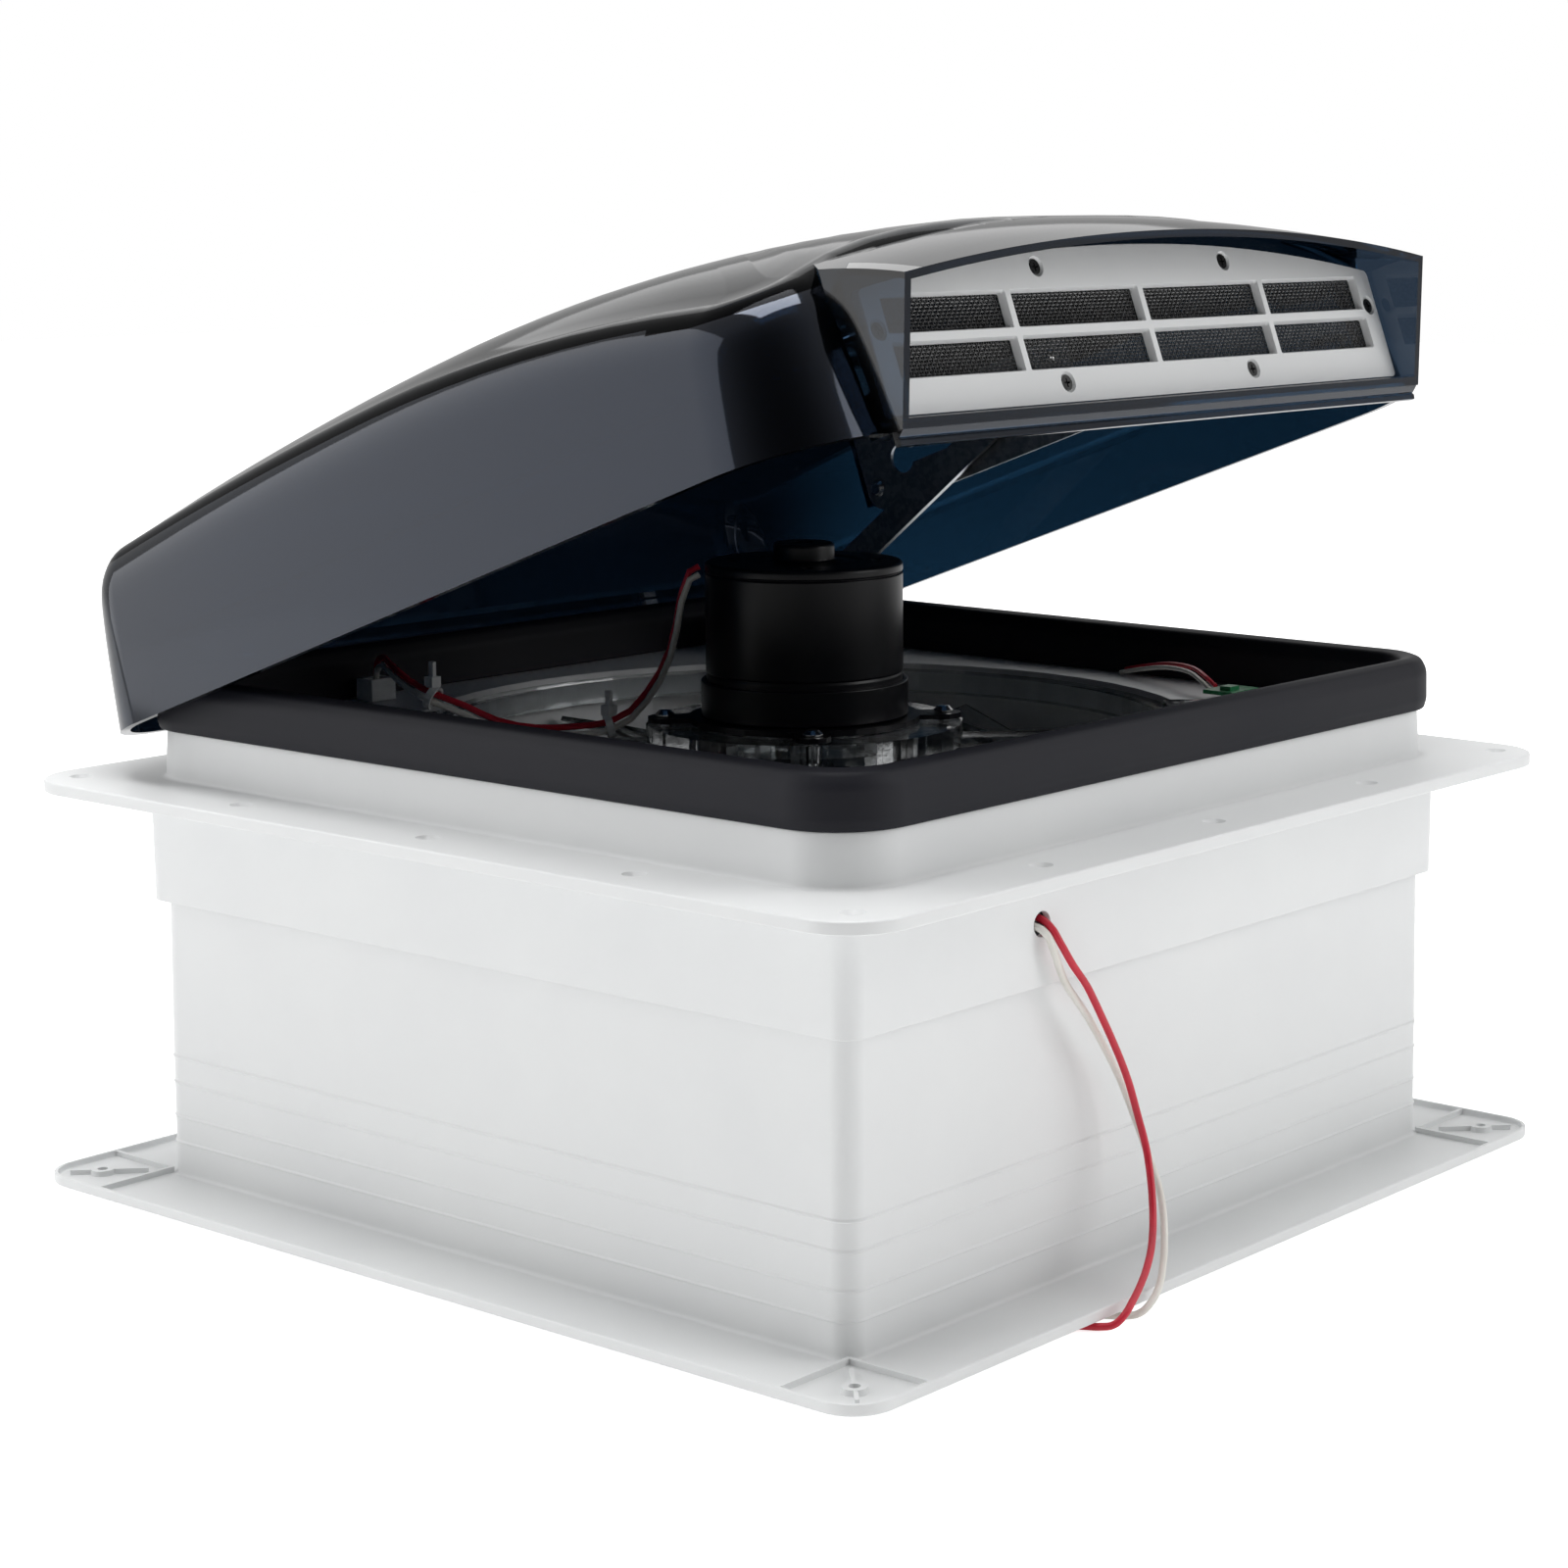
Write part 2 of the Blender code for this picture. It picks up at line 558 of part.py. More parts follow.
def crown(x, run):
    """Rise of the outer top skin over the hinge at X and a run forward of it."""
    drop = FRONT_DROP if run > CROWN_RUN else REAR_DROP
    lengthwise = drop * ((run - CROWN_RUN) / CROWN_SPAN) ** 2
    crosswise = SIDE_DROP * abs(x / SIDE_PLACE) ** SIDE_POWER
    nose = NOSE_BEND * max(0.0, run - NOSE_RUN) ** 2
    return CROWN_RISE - lengthwise - crosswise - nose


def lid_body(name, inset, rim, mat=None):
    """The lid's closed outer form, or the hollow inside it, as rings from rim to crown."""
    arc, straight = 5, 6
    wall_rings = ((0.0, 0.0), (0.0018, 0.30), (0.0040, 0.60), (0.0062, 0.78), (0.0105, 0.90),
                  (0.0160, 0.97), (0.0230, 1.0))
    rings = []

    def outline(depth):
        half = LID_HALF - depth
        front = -LID_FRONT + depth
        rear = -LID_REAR - depth
        middle = (front + rear) / 2
        points = round_outline(half, front - middle, rear - middle, max(0.040 - depth, 0.008),
                               max(0.030 - depth, 0.006), arc, straight)
        return [(p.x, p.y + middle) for p in points]

    edge = outline(wall_rings[-1][0] + inset)
    for depth, share in wall_rings:
        ring_points = []
        for (x, y), (ex, ey) in zip(outline(depth + inset), edge):
            top = crown(ex, -ey) - inset
            ring_points.append((x, y, rim + share * (top - rim)))
        rings.append(ring_points)
    for depth in (0.045, 0.075, 0.110, 0.145):
        rings.append([(x, y, crown(x, -y) - inset) for x, y in outline(depth + inset)])
    centre_y = -(LID_FRONT + LID_REAR) / 2
    rings.append([(x * 0.4, centre_y + (y - centre_y) * 0.4,
                   crown(x * 0.4, -(centre_y + (y - centre_y) * 0.4)) - inset)
                  for x, y in outline(0.145 + inset)])
    return loft(name, rings, mat)


def hood_body(name, inset, back, reach, chamfer=0.0):
    """Duct that carries the grille; its roof carries on the crown and its mouth leans forward."""
    def roof(x, run):
        arch = HOOD_ARCH + HOOD_FALL * (HOOD_MOUTH - run)
        return crown(0.0, run) - arch * (x / HOOD_HALF) ** 2 - inset

    low = HOOD_LOW + inset
    half = HOOD_HALF - inset
    stations = 14
    sections = []
    for step in range(stations + 1):
        x = half * (2 * step / stations - 1)
        run = HOOD_FRONT
        for _ in range(8):
            run = HOOD_FRONT + HOOD_LEAN * (roof(x, run) - HOOD_LOW)
        start = back + chamfer * max(0.0, abs(x) - HOOD_SHOULDER)
        section = []
        for share in (0.0, 0.33, 0.66, 1.0):
            forward = start + (run - start) * share
            section.append((x, -forward, roof(x, forward)))
        mouth_low = HOOD_FRONT + HOOD_LEAN * inset
        if reach:
            section.append((x, -run - reach, section[-1][2]))
        section += [(x, -mouth_low - reach, low), (x, -start, low)]
        sections.append(section)
    return loft(name, sections)


def seal_ledge():
    """Frame inside the lid that comes down on the seal; its front bar stands off the grille wall."""
    low, high = 0.0216, 0.0240
    inner = 0.1660
    ledge = plate("seal_ledge", round_outline(0.1848, -0.3570, 0.0050, 0.0368, 0.0267), low, high)
    cut(ledge, box("ledge_opening", (-inner, -(HINGE.y + inner), low - 0.01),
                   (inner, -(HINGE.y - inner), high + 0.01)))
    return ledge


def lid_shell():
    shell = lid_body("lid_shell", 0.0, LID_RIM, SMOKE)
    join(shell, hood_body("hood_outer", 0.0, 0.3450, 0.0, HOOD_CHAMFER))
    cut(shell, lid_body("lid_hollow", LID_SKIN, LID_RIM - 0.0100))
    cut(shell, hood_body("hood_hollow", LID_SKIN, LID_FRONT + 0.0002, 0.0200))
    join(shell, seal_ledge())
    web = side_plate("track_web", [
        (-0.120, 0.0260), (-0.138, 0.0260), (-0.138, 0.0500), (-0.300, 0.0500),
        (-0.300, crown(0.13, 0.300) - 0.0012), (-0.240, crown(0.13, 0.240) - 0.0012),
        (-0.180, crown(0.13, 0.180) - 0.0012), (-0.120, crown(0.13, 0.120) - 0.0012),
    ], TRACK_X + TRACK_THICK + GAP, TRACK_X + TRACK_THICK + GAP + 0.0030)
    join(shell, web)
    cut(shell, box("grille_opening", (-0.1375, -0.380, 0.0120), (0.1375, -0.340, 0.0430)))
    for number, (x, rise) in enumerate(GRILLE_SCREWS):
        cut(shell, cylinder(f"wall_hole_{number}", (x, -0.340, rise), (x, -0.380, rise), 0.0020, sides=8))
    for number, (run, rise) in enumerate(TRACK_SCREWS):
        cut(shell, cylinder(f"web_hole_{number}", (0.120, -run, rise), (0.140, -run, rise), 0.0018,
                            sides=12))
    on_lid(shell)


def grille():
    face = GRILLE_FACE
    low, corner, rise = 0.0010, 0.0428, 0.0132
    outline = [(-GRILLE_HALF, low), (GRILLE_HALF, low)]
    for step in range(15):
        x = GRILLE_HALF * (1 - 2 * step / 14)
        outline.append((x, corner + rise * (1 - (x / GRILLE_HALF) ** 2)))
    panel = loft("grille_panel", [[(x, -run, z) for x, z in outline]
                                  for run in (face, face + GRILLE_THICK)], WHITE)
    columns = [-0.1385, *MULLIONS, 0.1385]
    for row, (bottom, top) in enumerate(GRILLE_ROWS):
        for column, (left, right) in enumerate(zip(columns, columns[1:])):
            cut(panel, box(f"window_{row}_{column}", (left + 0.0020, -face - 0.01, bottom),
                           (right - 0.0020, -face + 0.01, top)))
    for number, (x, z) in enumerate(GRILLE_SCREWS):
        cut(panel, cylinder(f"panel_hole_{number}", (x, -face + 0.01, z), (x, -face - 0.01, z), 0.0020,
                            sides=8))
        cut(panel, cylinder(f"panel_sink_{number}", (x, -face - 0.0006, z),
                            (x, -face - GRILLE_THICK - 0.0010, z), 0.0020, end_radius=0.0050, sides=12))
        start = -face - GRILLE_THICK + 0.0002
        head = cylinder(f"grille_screw_{number + 1}", (x, start, z), (x, start + 0.0018, z), 0.0035,
                        BLACK_SCREW, end_radius=0.0016, sides=12)
        join(head, cylinder(f"grille_shank_{number}", (x, start + 0.0012, z), (x, start + 0.0100, z), 0.0015,
                            sides=8))
        on_lid(head)
    mesh = box("grille_mesh", (-0.1390, -face + 0.0004, 0.0106), (0.1390, -face + 0.0009, 0.0448),
               MESH_BLACK)
    on_lid(panel, mesh)


def hinges():
    reach = 0.0100
    for side, x in HINGE_PLACES.items():
        low_x, high_x = x - reach, x + reach
        leaf = box(f"hinge_base_{side}", (low_x, COLLAR_HALF + GAP, 0.1600),
                   (high_x, COLLAR_HALF + GAP + 0.0020, 0.1762), STEEL)
        for end, start in enumerate((low_x, high_x - 0.0060)):
            arm = box(f"hinge_arm_{side}_{end}", (start, COLLAR_HALF + 0.0012, 0.1728),
                      (start + 0.0060, HINGE.y, 0.1759))
            knuckle = cylinder(f"hinge_eye_{side}_{end}", (start + 0.0001, HINGE.y, HINGE.z),
                               (start + 0.0059, HINGE.y, HINGE.z), 0.0033, sides=14)
            join(leaf, arm, knuckle)
        cut(leaf, cylinder(f"hinge_bore_{side}", (x - 0.02, HINGE.y, HINGE.z), (x + 0.02, HINGE.y, HINGE.z),
                           0.0019, sides=12))
        cylinder(f"hinge_pin_{side}", (low_x - 0.0008, HINGE.y, HINGE.z),
                 (high_x + 0.0008, HINGE.y, HINGE.z), 0.0016, STEEL, sides=12)
        lid_leaf = box(f"lid_hinge_{side}", (x - 0.0035, -0.0004, 0.0), (x + 0.0035, 0.0024, 0.0210), STEEL)
        join(lid_leaf, cylinder(f"lid_eye_{side}", (x - 0.0034, 0, 0), (x + 0.0034, 0, 0), 0.0033, sides=14))
        cut(lid_leaf, cylinder(f"lid_bore_{side}", (x - 0.02, 0, 0), (x + 0.02, 0, 0), 0.0019, sides=12))
        on_lid(lid_leaf)


# ---------------------------------------------------------------- lifter
def arm_angle():
    """Angle of the arm over the deck at which its pin lies in the lid's slot."""
    offset = ARM_PIVOT - HINGE
    height = offset.y * math.sin(LID_OPEN) + offset.z * math.cos(LID_OPEN)
    return LID_OPEN + math.asin((SLOT_RISE - height) / ARM_LENGTH)


def arc_points(centre, radius, start, end, count):
    points = []
    for step in range(count + 1):
        angle = math.radians(start + (end - start) * step / count)
        points.append((centre[0] + radius * math.cos(angle), centre[1] + radius * math.sin(angle)))
    return points


def lift_arm():
    """Flat arm in its own frame: pivot at the origin, slide pin at -Y, worm sector at the heel."""
    outline = arc_points((-ARM_LENGTH, 0.0), ARM_HALF, 90, 270, 10)
    outline += arc_points((0.0, 0.0), ARM_HALF, 270, 350, 6)
    outline += arc_points((0.0, 0.0), SECTOR_RADIUS, 1, 49, 10)
    outline += arc_points((0.0, 0.0), ARM_HALF, 60, 90, 2)
    arm = side_plate("lift_arm", outline, ARM_X, ARM_X + ARM_THICK, STEEL)
    cut(arm, cylinder("arm_bore", (0.11, 0, 0), (0.14, 0, 0), 0.0024, sides=16))
    cut(arm, cylinder("arm_pin_bore", (0.11, -ARM_LENGTH, 0), (0.14, -ARM_LENGTH, 0), 0.0029, sides=16))
    pin = cylinder("lift_slide_pin", (ARM_X - 0.0020, -ARM_LENGTH, 0),
                   (TRACK_X + TRACK_THICK + 0.0018, -ARM_LENGTH, 0), 0.0025, STEEL, sides=16)
    head_start = TRACK_X + TRACK_THICK + 0.0005
    join(pin, cylinder("slide_pin_head", (head_start, -ARM_LENGTH, 0), (head_start + 0.0014, -ARM_LENGTH, 0),
                       0.0048, sides=20))
    join(pin, cylinder("slide_pin_rivet", (ARM_X - 0.0024, -ARM_LENGTH, 0),
                       (ARM_X - 0.0005, -ARM_LENGTH, 0), 0.0040, sides=20))
    carrier = bpy.data.objects.new("arm_pivot", None)
    parts.objects.link(carrier)
    carrier.location = ARM_PIVOT
    carrier.rotation_euler.x = -arm_angle()
    for piece in (arm, pin):
        piece.parent = carrier
        for change in piece.modifiers:
            change.object.parent = carrier


def lift_track():
    """Steel plate on the lid's web, with a keyhole and a slot along the lid."""
    outline = [(-0.2450, 0.0225), (-0.2450, 0.0620), (-0.1240, 0.0620)]
    outline += arc_points((-0.1320, 0.0305), 0.0080, 0, -90, 6)
    track = side_plate("lift_track", outline, TRACK_X, TRACK_X + TRACK_THICK, STEEL)
    cut(track, cylinder("keyhole", (0.12, -0.1470, SLOT_RISE), (0.14, -0.1470, SLOT_RISE), 0.0062, sides=24))
    cut(track, box("slide_slot", (0.12, -0.2280, SLOT_RISE - 0.0031), (0.14, -0.1470, SLOT_RISE + 0.0031)))
    for number, (run, rise) in enumerate(TRACK_SCREWS, 1):
        cut(track, cylinder(f"track_hole_{number}", (0.12, -run, rise), (0.14, -run, rise), 0.0019,
                            sides=12))
        screw = cylinder(f"track_screw_{number}", (TRACK_X - 0.0020, -run, rise),
                         (TRACK_X - 0.0003, -run, rise), 0.0024, CHROME, end_radius=0.0036, sides=16)
        join(screw, cylinder(f"track_shank_{number}", (TRACK_X - 0.0010, -run, rise),
                             (TRACK_X + 0.0070, -run, rise), 0.0015, sides=12))
        on_lid(screw)
    on_lid(track)


def lift_bracket():
    """Steel yoke on the deck: two cheeks carry the arm pivot, a bridge holds the worm."""
    middle = ARM_X + ARM_THICK / 2
    floor = DECK_TOP + GAP
    bracket = box("lift_bracket", (middle - 0.0100, 0.1140, floor), (middle + 0.0100, 0.1530, floor + 0.0016),
                  STEEL)
    for side in (-1, 1):
        centre = middle + side * 0.0075
        cheek = box(f"lift_cheek_{side}", (centre - 0.0008, 0.1180, floor + 0.0008),
                    (centre + 0.0008, 0.1500, 0.1925))
        join(bracket, cheek)
    join(bracket, box("lift_bridge", (middle - 0.0082, 0.1345, 0.1912), (middle + 0.0082, 0.1499, 0.1926)))
    cut(bracket, box("arm_slot", (ARM_X - 0.0012, 0.1170, 0.170), (ARM_X + ARM_THICK + 0.0012, 0.1460, 0.180)))
    cut(bracket, cylinder("bridge_bore", (WORM_X, WORM_Y, 0.185), (WORM_X, WORM_Y, 0.200), 0.0022, sides=16))
    cut(bracket, cylinder("floor_bore", (WORM_X, WORM_Y, 0.170), (WORM_X, WORM_Y, 0.180), 0.0044, sides=20))
    cut(bracket, cylinder("cheek_bore", (0.10, ARM_PIVOT.y, ARM_PIVOT.z), (0.14, ARM_PIVOT.y, ARM_PIVOT.z),
                          0.0024, sides=16))
    cylinder("lift_pivot_pin", (middle - 0.0095, ARM_PIVOT.y, ARM_PIVOT.z),
             (middle + 0.0095, ARM_PIVOT.y, ARM_PIVOT.z), 0.0020, STEEL, sides=16)
    turned("lift_worm", [
        (0.0, 0.1935), (0.0018, 0.1935), (0.0018, 0.1905), (WORM_RADIUS, 0.1905), (WORM_RADIUS, 0.1795),
        (0.0025, 0.1780), (0.0025, 0.0760), (0.0, 0.0760)], BRASS, 16, (WORM_X, WORM_Y, 0.0))
    turned("lift_knob", [
        (0.0029, 0.0880), (0.0070, 0.0880), (0.0080, 0.0840), (0.0150, 0.0820), (0.0160, 0.0800),
        (0.0160, 0.0700), (0.0145, 0.0680), (0.0, 0.0680), (0.0, 0.0750), (0.0029, 0.0750)],
        GREY, 24, (WORM_X, WORM_Y, 0.0))


# ---------------------------------------------------------------- electrical pieces
def switch():
    low, high = 0.0760, SLEEVE_SHELF + GAP - 0.0004
    housing = box("switch_housing", (-0.1500, -0.1620, low), (-0.1100, -0.1300, high - GAP), WHITE)
    cut(housing, box("rocker_recess", (-0.1395, -0.1530, low - 0.01), (-0.1205, -0.1390, low + 0.0070)))
    side_plate("fan_switch", [
        (-0.1524, low + 0.0010), (-0.1460, low - 0.0008), (-0.1396, low + 0.0010),
        (-0.1400, low + 0.0045), (-0.1520, low + 0.0045)], -0.1390, -0.1210, GREY)


def cable_tie(name, place, axis, inner):
    """A closed nylon loop round a lead pair with its head and tail on top."""
    place = Vector(place)
    axis = Vector(axis).normalized()
    tie = cylinder(name, place - axis * 0.0014, place + axis * 0.0014, inner + 0.0010, NYLON, sides=16)
    join(tie, box(f"{name}_head", place + Vector((-0.0022, -0.0022, inner + 0.0004)),
                  place + Vector((0.0022, 0.0022, inner + 0.0044))))
    join(tie, box(f"{name}_tail", place + Vector((-0.0008, -0.0012, inner + 0.0030)),
                  place + Vector((0.0008, 0.0012, inner + 0.0100))))
    cut(tie, cylinder(f"{name}_bore", place - axis * 0.01, place + axis * 0.01, inner, sides=16))


def sensor_and_connector():
    floor = DECK_TOP + GAP
    board = box("sensor_board", (0.1240, -0.1120, floor + 0.0030), (0.1420, -0.0980, floor + 0.0046), GREEN)
    join(board, box("sensor_chip", (0.1270, -0.1090, floor + 0.0040), (0.1330, -0.1040, floor + 0.0062)))
    for number, (x, y) in enumerate(((0.1260, -0.1100), (0.1400, -0.1000))):
        join(board, cylinder(f"board_post_{number}", (x, y, floor), (x, y, floor + 0.0040), 0.0016, sides=12))
    connector = box("lead_connector", (-0.0820, 0.1530, floor), (-0.0700, 0.1620, floor + 0.0085), NYLON)
    cut(connector, box("connector_mouth", (-0.0805, 0.1544, floor + 0.0040), (-0.0715, 0.1606, floor + 0.02)))


MOTOR_LEADS = [(-0.0244, 0.0314, 0.2320), (-0.0268, 0.0342, 0.2300), (-0.0288, 0.0367, 0.2215),
               (-0.0299, 0.0385, 0.2100), (-0.0315, 0.0405, 0.2000), (-0.0345, 0.0430, 0.1915),
               (-0.0385, 0.0460, 0.1840), (-0.0445, 0.0490, 0.1772), (-0.0520, 0.0530, 0.1734),
               (-0.0610, 0.0615, 0.1720), (-0.0720, 0.0720, 0.1718), (-0.0820, 0.0820, 0.1747),
               (-0.0905, 0.0910, 0.1807), (-0.0985, 0.0995, 0.1854), (-0.0995, 0.1120, 0.1895),
               (-0.0930, 0.1290, 0.1930), (-0.0830, 0.1450, 0.1935), (-0.0770, 0.1555, 0.1900),
               (-0.0760, 0.1575, 0.1845)]
SENSOR_LEADS = [(0.1330, -0.0965, 0.1806), (0.1360, -0.0900, 0.1830), (0.1440, -0.0780, 0.1848),
                (0.1530, -0.0600, 0.1840), (0.1590, -0.0430, 0.1810), (0.1630, -0.0300, 0.1782)]
RED_LEAD = [(-0.0752, -0.1660, 0.1342), (-0.0752, -0.1720, 0.1340), (-0.0756, -0.1775, 0.1318),
            (-0.0742, -0.1810, 0.1260), (-0.0703, -0.1830, 0.1185), (-0.0640, -0.1840, 0.1105),
            (-0.0564, -0.1850, 0.0979), (-0.0495, -0.1860, 0.0854), (-0.0446, -0.1873, 0.0740),
            (-0.0421, -0.1895, 0.0621), (-0.0412, -0.1925, 0.0510), (-0.0435, -0.1965, 0.0395),
            (-0.0484, -0.2010, 0.0287), (-0.0556, -0.2055, 0.0206), (-0.0650, -0.2093, 0.0140),
            (-0.0742, -0.2115, 0.0085), (-0.0795, -0.2115, 0.0046), (-0.0823, -0.2098, 0.0023),
            (-0.0845, -0.2066, 0.0016), (-0.0875, -0.2020, 0.0016), (-0.0905, -0.1965, 0.0016),
            (-0.0930, -0.1915, 0.0016)]
WHITE_LEAD = [(-0.0790, -0.1660, 0.1322), (-0.0790, -0.1720, 0.1320), (-0.0788, -0.1778, 0.1302),
              (-0.0768, -0.1800, 0.1240), (-0.0700, -0.1795, 0.1120), (-0.0594, -0.1800, 0.0995),
              (-0.0498, -0.1805, 0.0865), (-0.0418, -0.1815, 0.0735), (-0.0369, -0.1840, 0.0600),
              (-0.0350, -0.1885, 0.0470), (-0.0363, -0.1950, 0.0345), (-0.0425, -0.2015, 0.0240),
              (-0.0506, -0.2070, 0.0150), (-0.0575, -0.2102, 0.0088), (-0.0637, -0.2108, 0.0045),
              (-0.0675, -0.2095, 0.0023), (-0.0703, -0.2066, 0.0016), (-0.0735, -0.2020, 0.0016),
              (-0.0765, -0.1965, 0.0016), (-0.0790, -0.1915, 0.0016)]


def shifted(points, offset):
    return [Vector(p) + Vector(offset) for p in points]


def leads():
    wire("feed_lead_red", RED_LEAD, LEAD_RADIUS, RED_WIRE)
    wire("feed_lead_white", WHITE_LEAD, LEAD_RADIUS, WHITE_WIRE)
    pairs = (("motor_lead", MOTOR_LEADS, MOTOR_LEAD_RADIUS, Vector((0.00105, 0.00105, 0.0014))),
             ("sensor_lead", SENSOR_LEADS, SENSOR_LEAD_RADIUS, Vector((0.0012, -0.0004, 0.0006))))
    for name, route, radius, apart in pairs:
        wire(f"{name}_red", shifted(route, apart), radius, RED_WIRE)
        wire(f"{name}_white", shifted(route, -apart), radius, WHITE_WIRE)
    cable_tie("motor_lead_tie", (-0.0520, 0.0530, 0.1734), (-1.0, 0.76, -0.30), TIE_BORE)
    cable_tie("connector_lead_tie", (-0.0985, 0.0995, 0.1854), (-0.35, 1.0, 0.45), TIE_BORE)


trim_frame()
interior_screen()
roof_base()
lid_seal()
fan_deck()
motor_bracket()
motor()
fan_blades()
lid_shell()
grille()
hinges()
lift_arm()
lift_track()
lift_bracket()
switch()
sensor_and_connector()
leads()
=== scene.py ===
import math

import bmesh
import bpy
from mathutils import Matrix, Vector


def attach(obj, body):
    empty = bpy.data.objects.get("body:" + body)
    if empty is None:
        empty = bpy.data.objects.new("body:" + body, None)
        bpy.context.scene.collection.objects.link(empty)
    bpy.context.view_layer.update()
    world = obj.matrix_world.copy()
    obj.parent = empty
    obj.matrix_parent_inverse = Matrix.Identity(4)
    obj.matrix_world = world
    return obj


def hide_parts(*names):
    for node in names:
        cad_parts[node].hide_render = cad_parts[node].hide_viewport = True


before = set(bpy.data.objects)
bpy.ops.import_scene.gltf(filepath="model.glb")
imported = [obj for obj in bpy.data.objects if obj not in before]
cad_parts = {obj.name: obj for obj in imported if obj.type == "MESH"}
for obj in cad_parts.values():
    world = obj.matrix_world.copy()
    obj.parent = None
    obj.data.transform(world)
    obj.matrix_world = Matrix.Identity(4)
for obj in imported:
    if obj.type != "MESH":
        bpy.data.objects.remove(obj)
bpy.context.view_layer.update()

# ---------------------------------------------------------------- camera
CAMERA_PLACE = (-0.95624, -0.86170, 0.37868)
CAMERA_RIGHT = Vector((0.61784, -0.78630, 0.00189))
CAMERA_UP = Vector((0.10488, 0.08479, 0.99086))
CAMERA_LENS = 78.17
CAMERA_SHIFT = (-0.159, -0.089)

# ---------------------------------------------------------------- light
DIM_SIDE = (-0.72, -0.68, 0.10)                       # where the sky is weakest
SKY_LIGHT = 0.50
SKY_DIM = 0.05
SKY_FADE = (0.25, 0.95)                               # cosines to DIM_SIDE between which it weakens
FLOOR_HALF = 6.0
FLOOR_TOP = -0.0002
FLOOR_THICK = 0.0198
FLOOR_GLOW = 0.18                                     # the light that the floor gives
FLOOR_SHOWN = 0.80                                    # its glow to the eye
SOFTBOXES = {                                         # place, aim, size, power
    "left_softbox": ((-1.5, 1.5, 0.95), (0.0, 0.0, 0.25), (2.4, 1.9), 18),
    "front_softbox": ((0.95, -1.75, 1.10), (0.0, 0.0, 0.20), (1.2, 1.4), 13),
    "top_softbox": ((-0.15, 0.05, 1.9), (0.0, 0.0, 0.2), (1.0, 1.0), 26),
    "back_softbox": ((1.6, 1.4, 1.35), (0.0, 0.0, 0.30), (1.8, 1.1), 5),
}

# ---------------------------------------------------------------- sizes shared with the CAD model
HINGE = Vector((0.0, 0.1828, 0.1760))
LID_OPEN = math.radians(20.0)
LID_PLACE = Matrix.Translation(HINGE) @ Matrix.Rotation(-LID_OPEN, 4, "X")
LID_HALF = 0.1880
LID_REAR = -0.0085
LID_FRONT = 0.3720
LID_RIM = -0.0030
LID_SKIN = 0.0030
CROWN_RISE = 0.0989
CROWN_RUN = 0.1700
CROWN_SPAN = 0.2000
FRONT_DROP = 0.0290
REAR_DROP = 0.0115
SIDE_DROP = 0.0320
SIDE_PLACE = 0.1750
SIDE_POWER = 3.2
NOSE_RUN = 0.3370
NOSE_BEND = 1.73
HOOD_HALF = 0.1510
HOOD_ARCH = 0.0125
HOOD_FALL = 0.10
HOOD_MOUTH = 0.4065
HOOD_SHOULDER = 0.1294
HOOD_CHAMFER = 0.97
HOOD_LOW = -0.0045
HOOD_FRONT = 0.3819
HOOD_LEAN = 0.39
GRILLE_FACE = 0.3735
GRILLE_THICK = 0.0030
GRILLE_HALF = 0.1465
MULLIONS = (-0.0735, 0.0, 0.0735)
GRILLE_ROWS = ((0.0134, 0.0244), (0.0284, 0.0404))
GRILLE_SCREWS = ((-0.0545, 0.0486), (0.0545, 0.0486), (-0.1415, 0.0293),
                 (0.1415, 0.0293), (-0.0545, 0.0080), (0.0545, 0.0080))
TRACK_X = 0.1262
TRACK_THICK = 0.0015
TRACK_SCREWS = ((0.130, 0.0320), (0.235, 0.0560))
GAP = 0.0004
SCORE_HEIGHTS = (0.0180, 0.0280, 0.0410, 0.0510)     # cutting lines round the sleeve
FLANGE_HOLES = (-0.191, -0.098, 0.0, 0.098, 0.191)
LEAD_HOLE = Vector((-0.0770, -0.1750, 0.1325))
LEAD_DIAMETER = 0.0026
STRANDS_ROUND = 6                                     # copper strands round the middle one
STRAND_RADIUS = 0.00020
STRAND_SPREAD = 0.00042
STRAND_LONG = 0.0042
RED_LEAD = [(-0.0752, -0.1660, 0.1342), (-0.0752, -0.1720, 0.1340), (-0.0756, -0.1775, 0.1318),
            (-0.0742, -0.1810, 0.1260), (-0.0703, -0.1830, 0.1185), (-0.0640, -0.1840, 0.1105),
            (-0.0564, -0.1850, 0.0979), (-0.0495, -0.1860, 0.0854), (-0.0446, -0.1873, 0.0740),
            (-0.0421, -0.1895, 0.0621), (-0.0412, -0.1925, 0.0510), (-0.0435, -0.1965, 0.0395),
            (-0.0484, -0.2010, 0.0287), (-0.0556, -0.2055, 0.0206), (-0.0650, -0.2093, 0.0140),
            (-0.0742, -0.2115, 0.0085), (-0.0795, -0.2115, 0.0046), (-0.0823, -0.2098, 0.0023),
            (-0.0845, -0.2066, 0.0016), (-0.0875, -0.2020, 0.0016), (-0.0905, -0.1965, 0.0016),
            (-0.0930, -0.1915, 0.0016)]
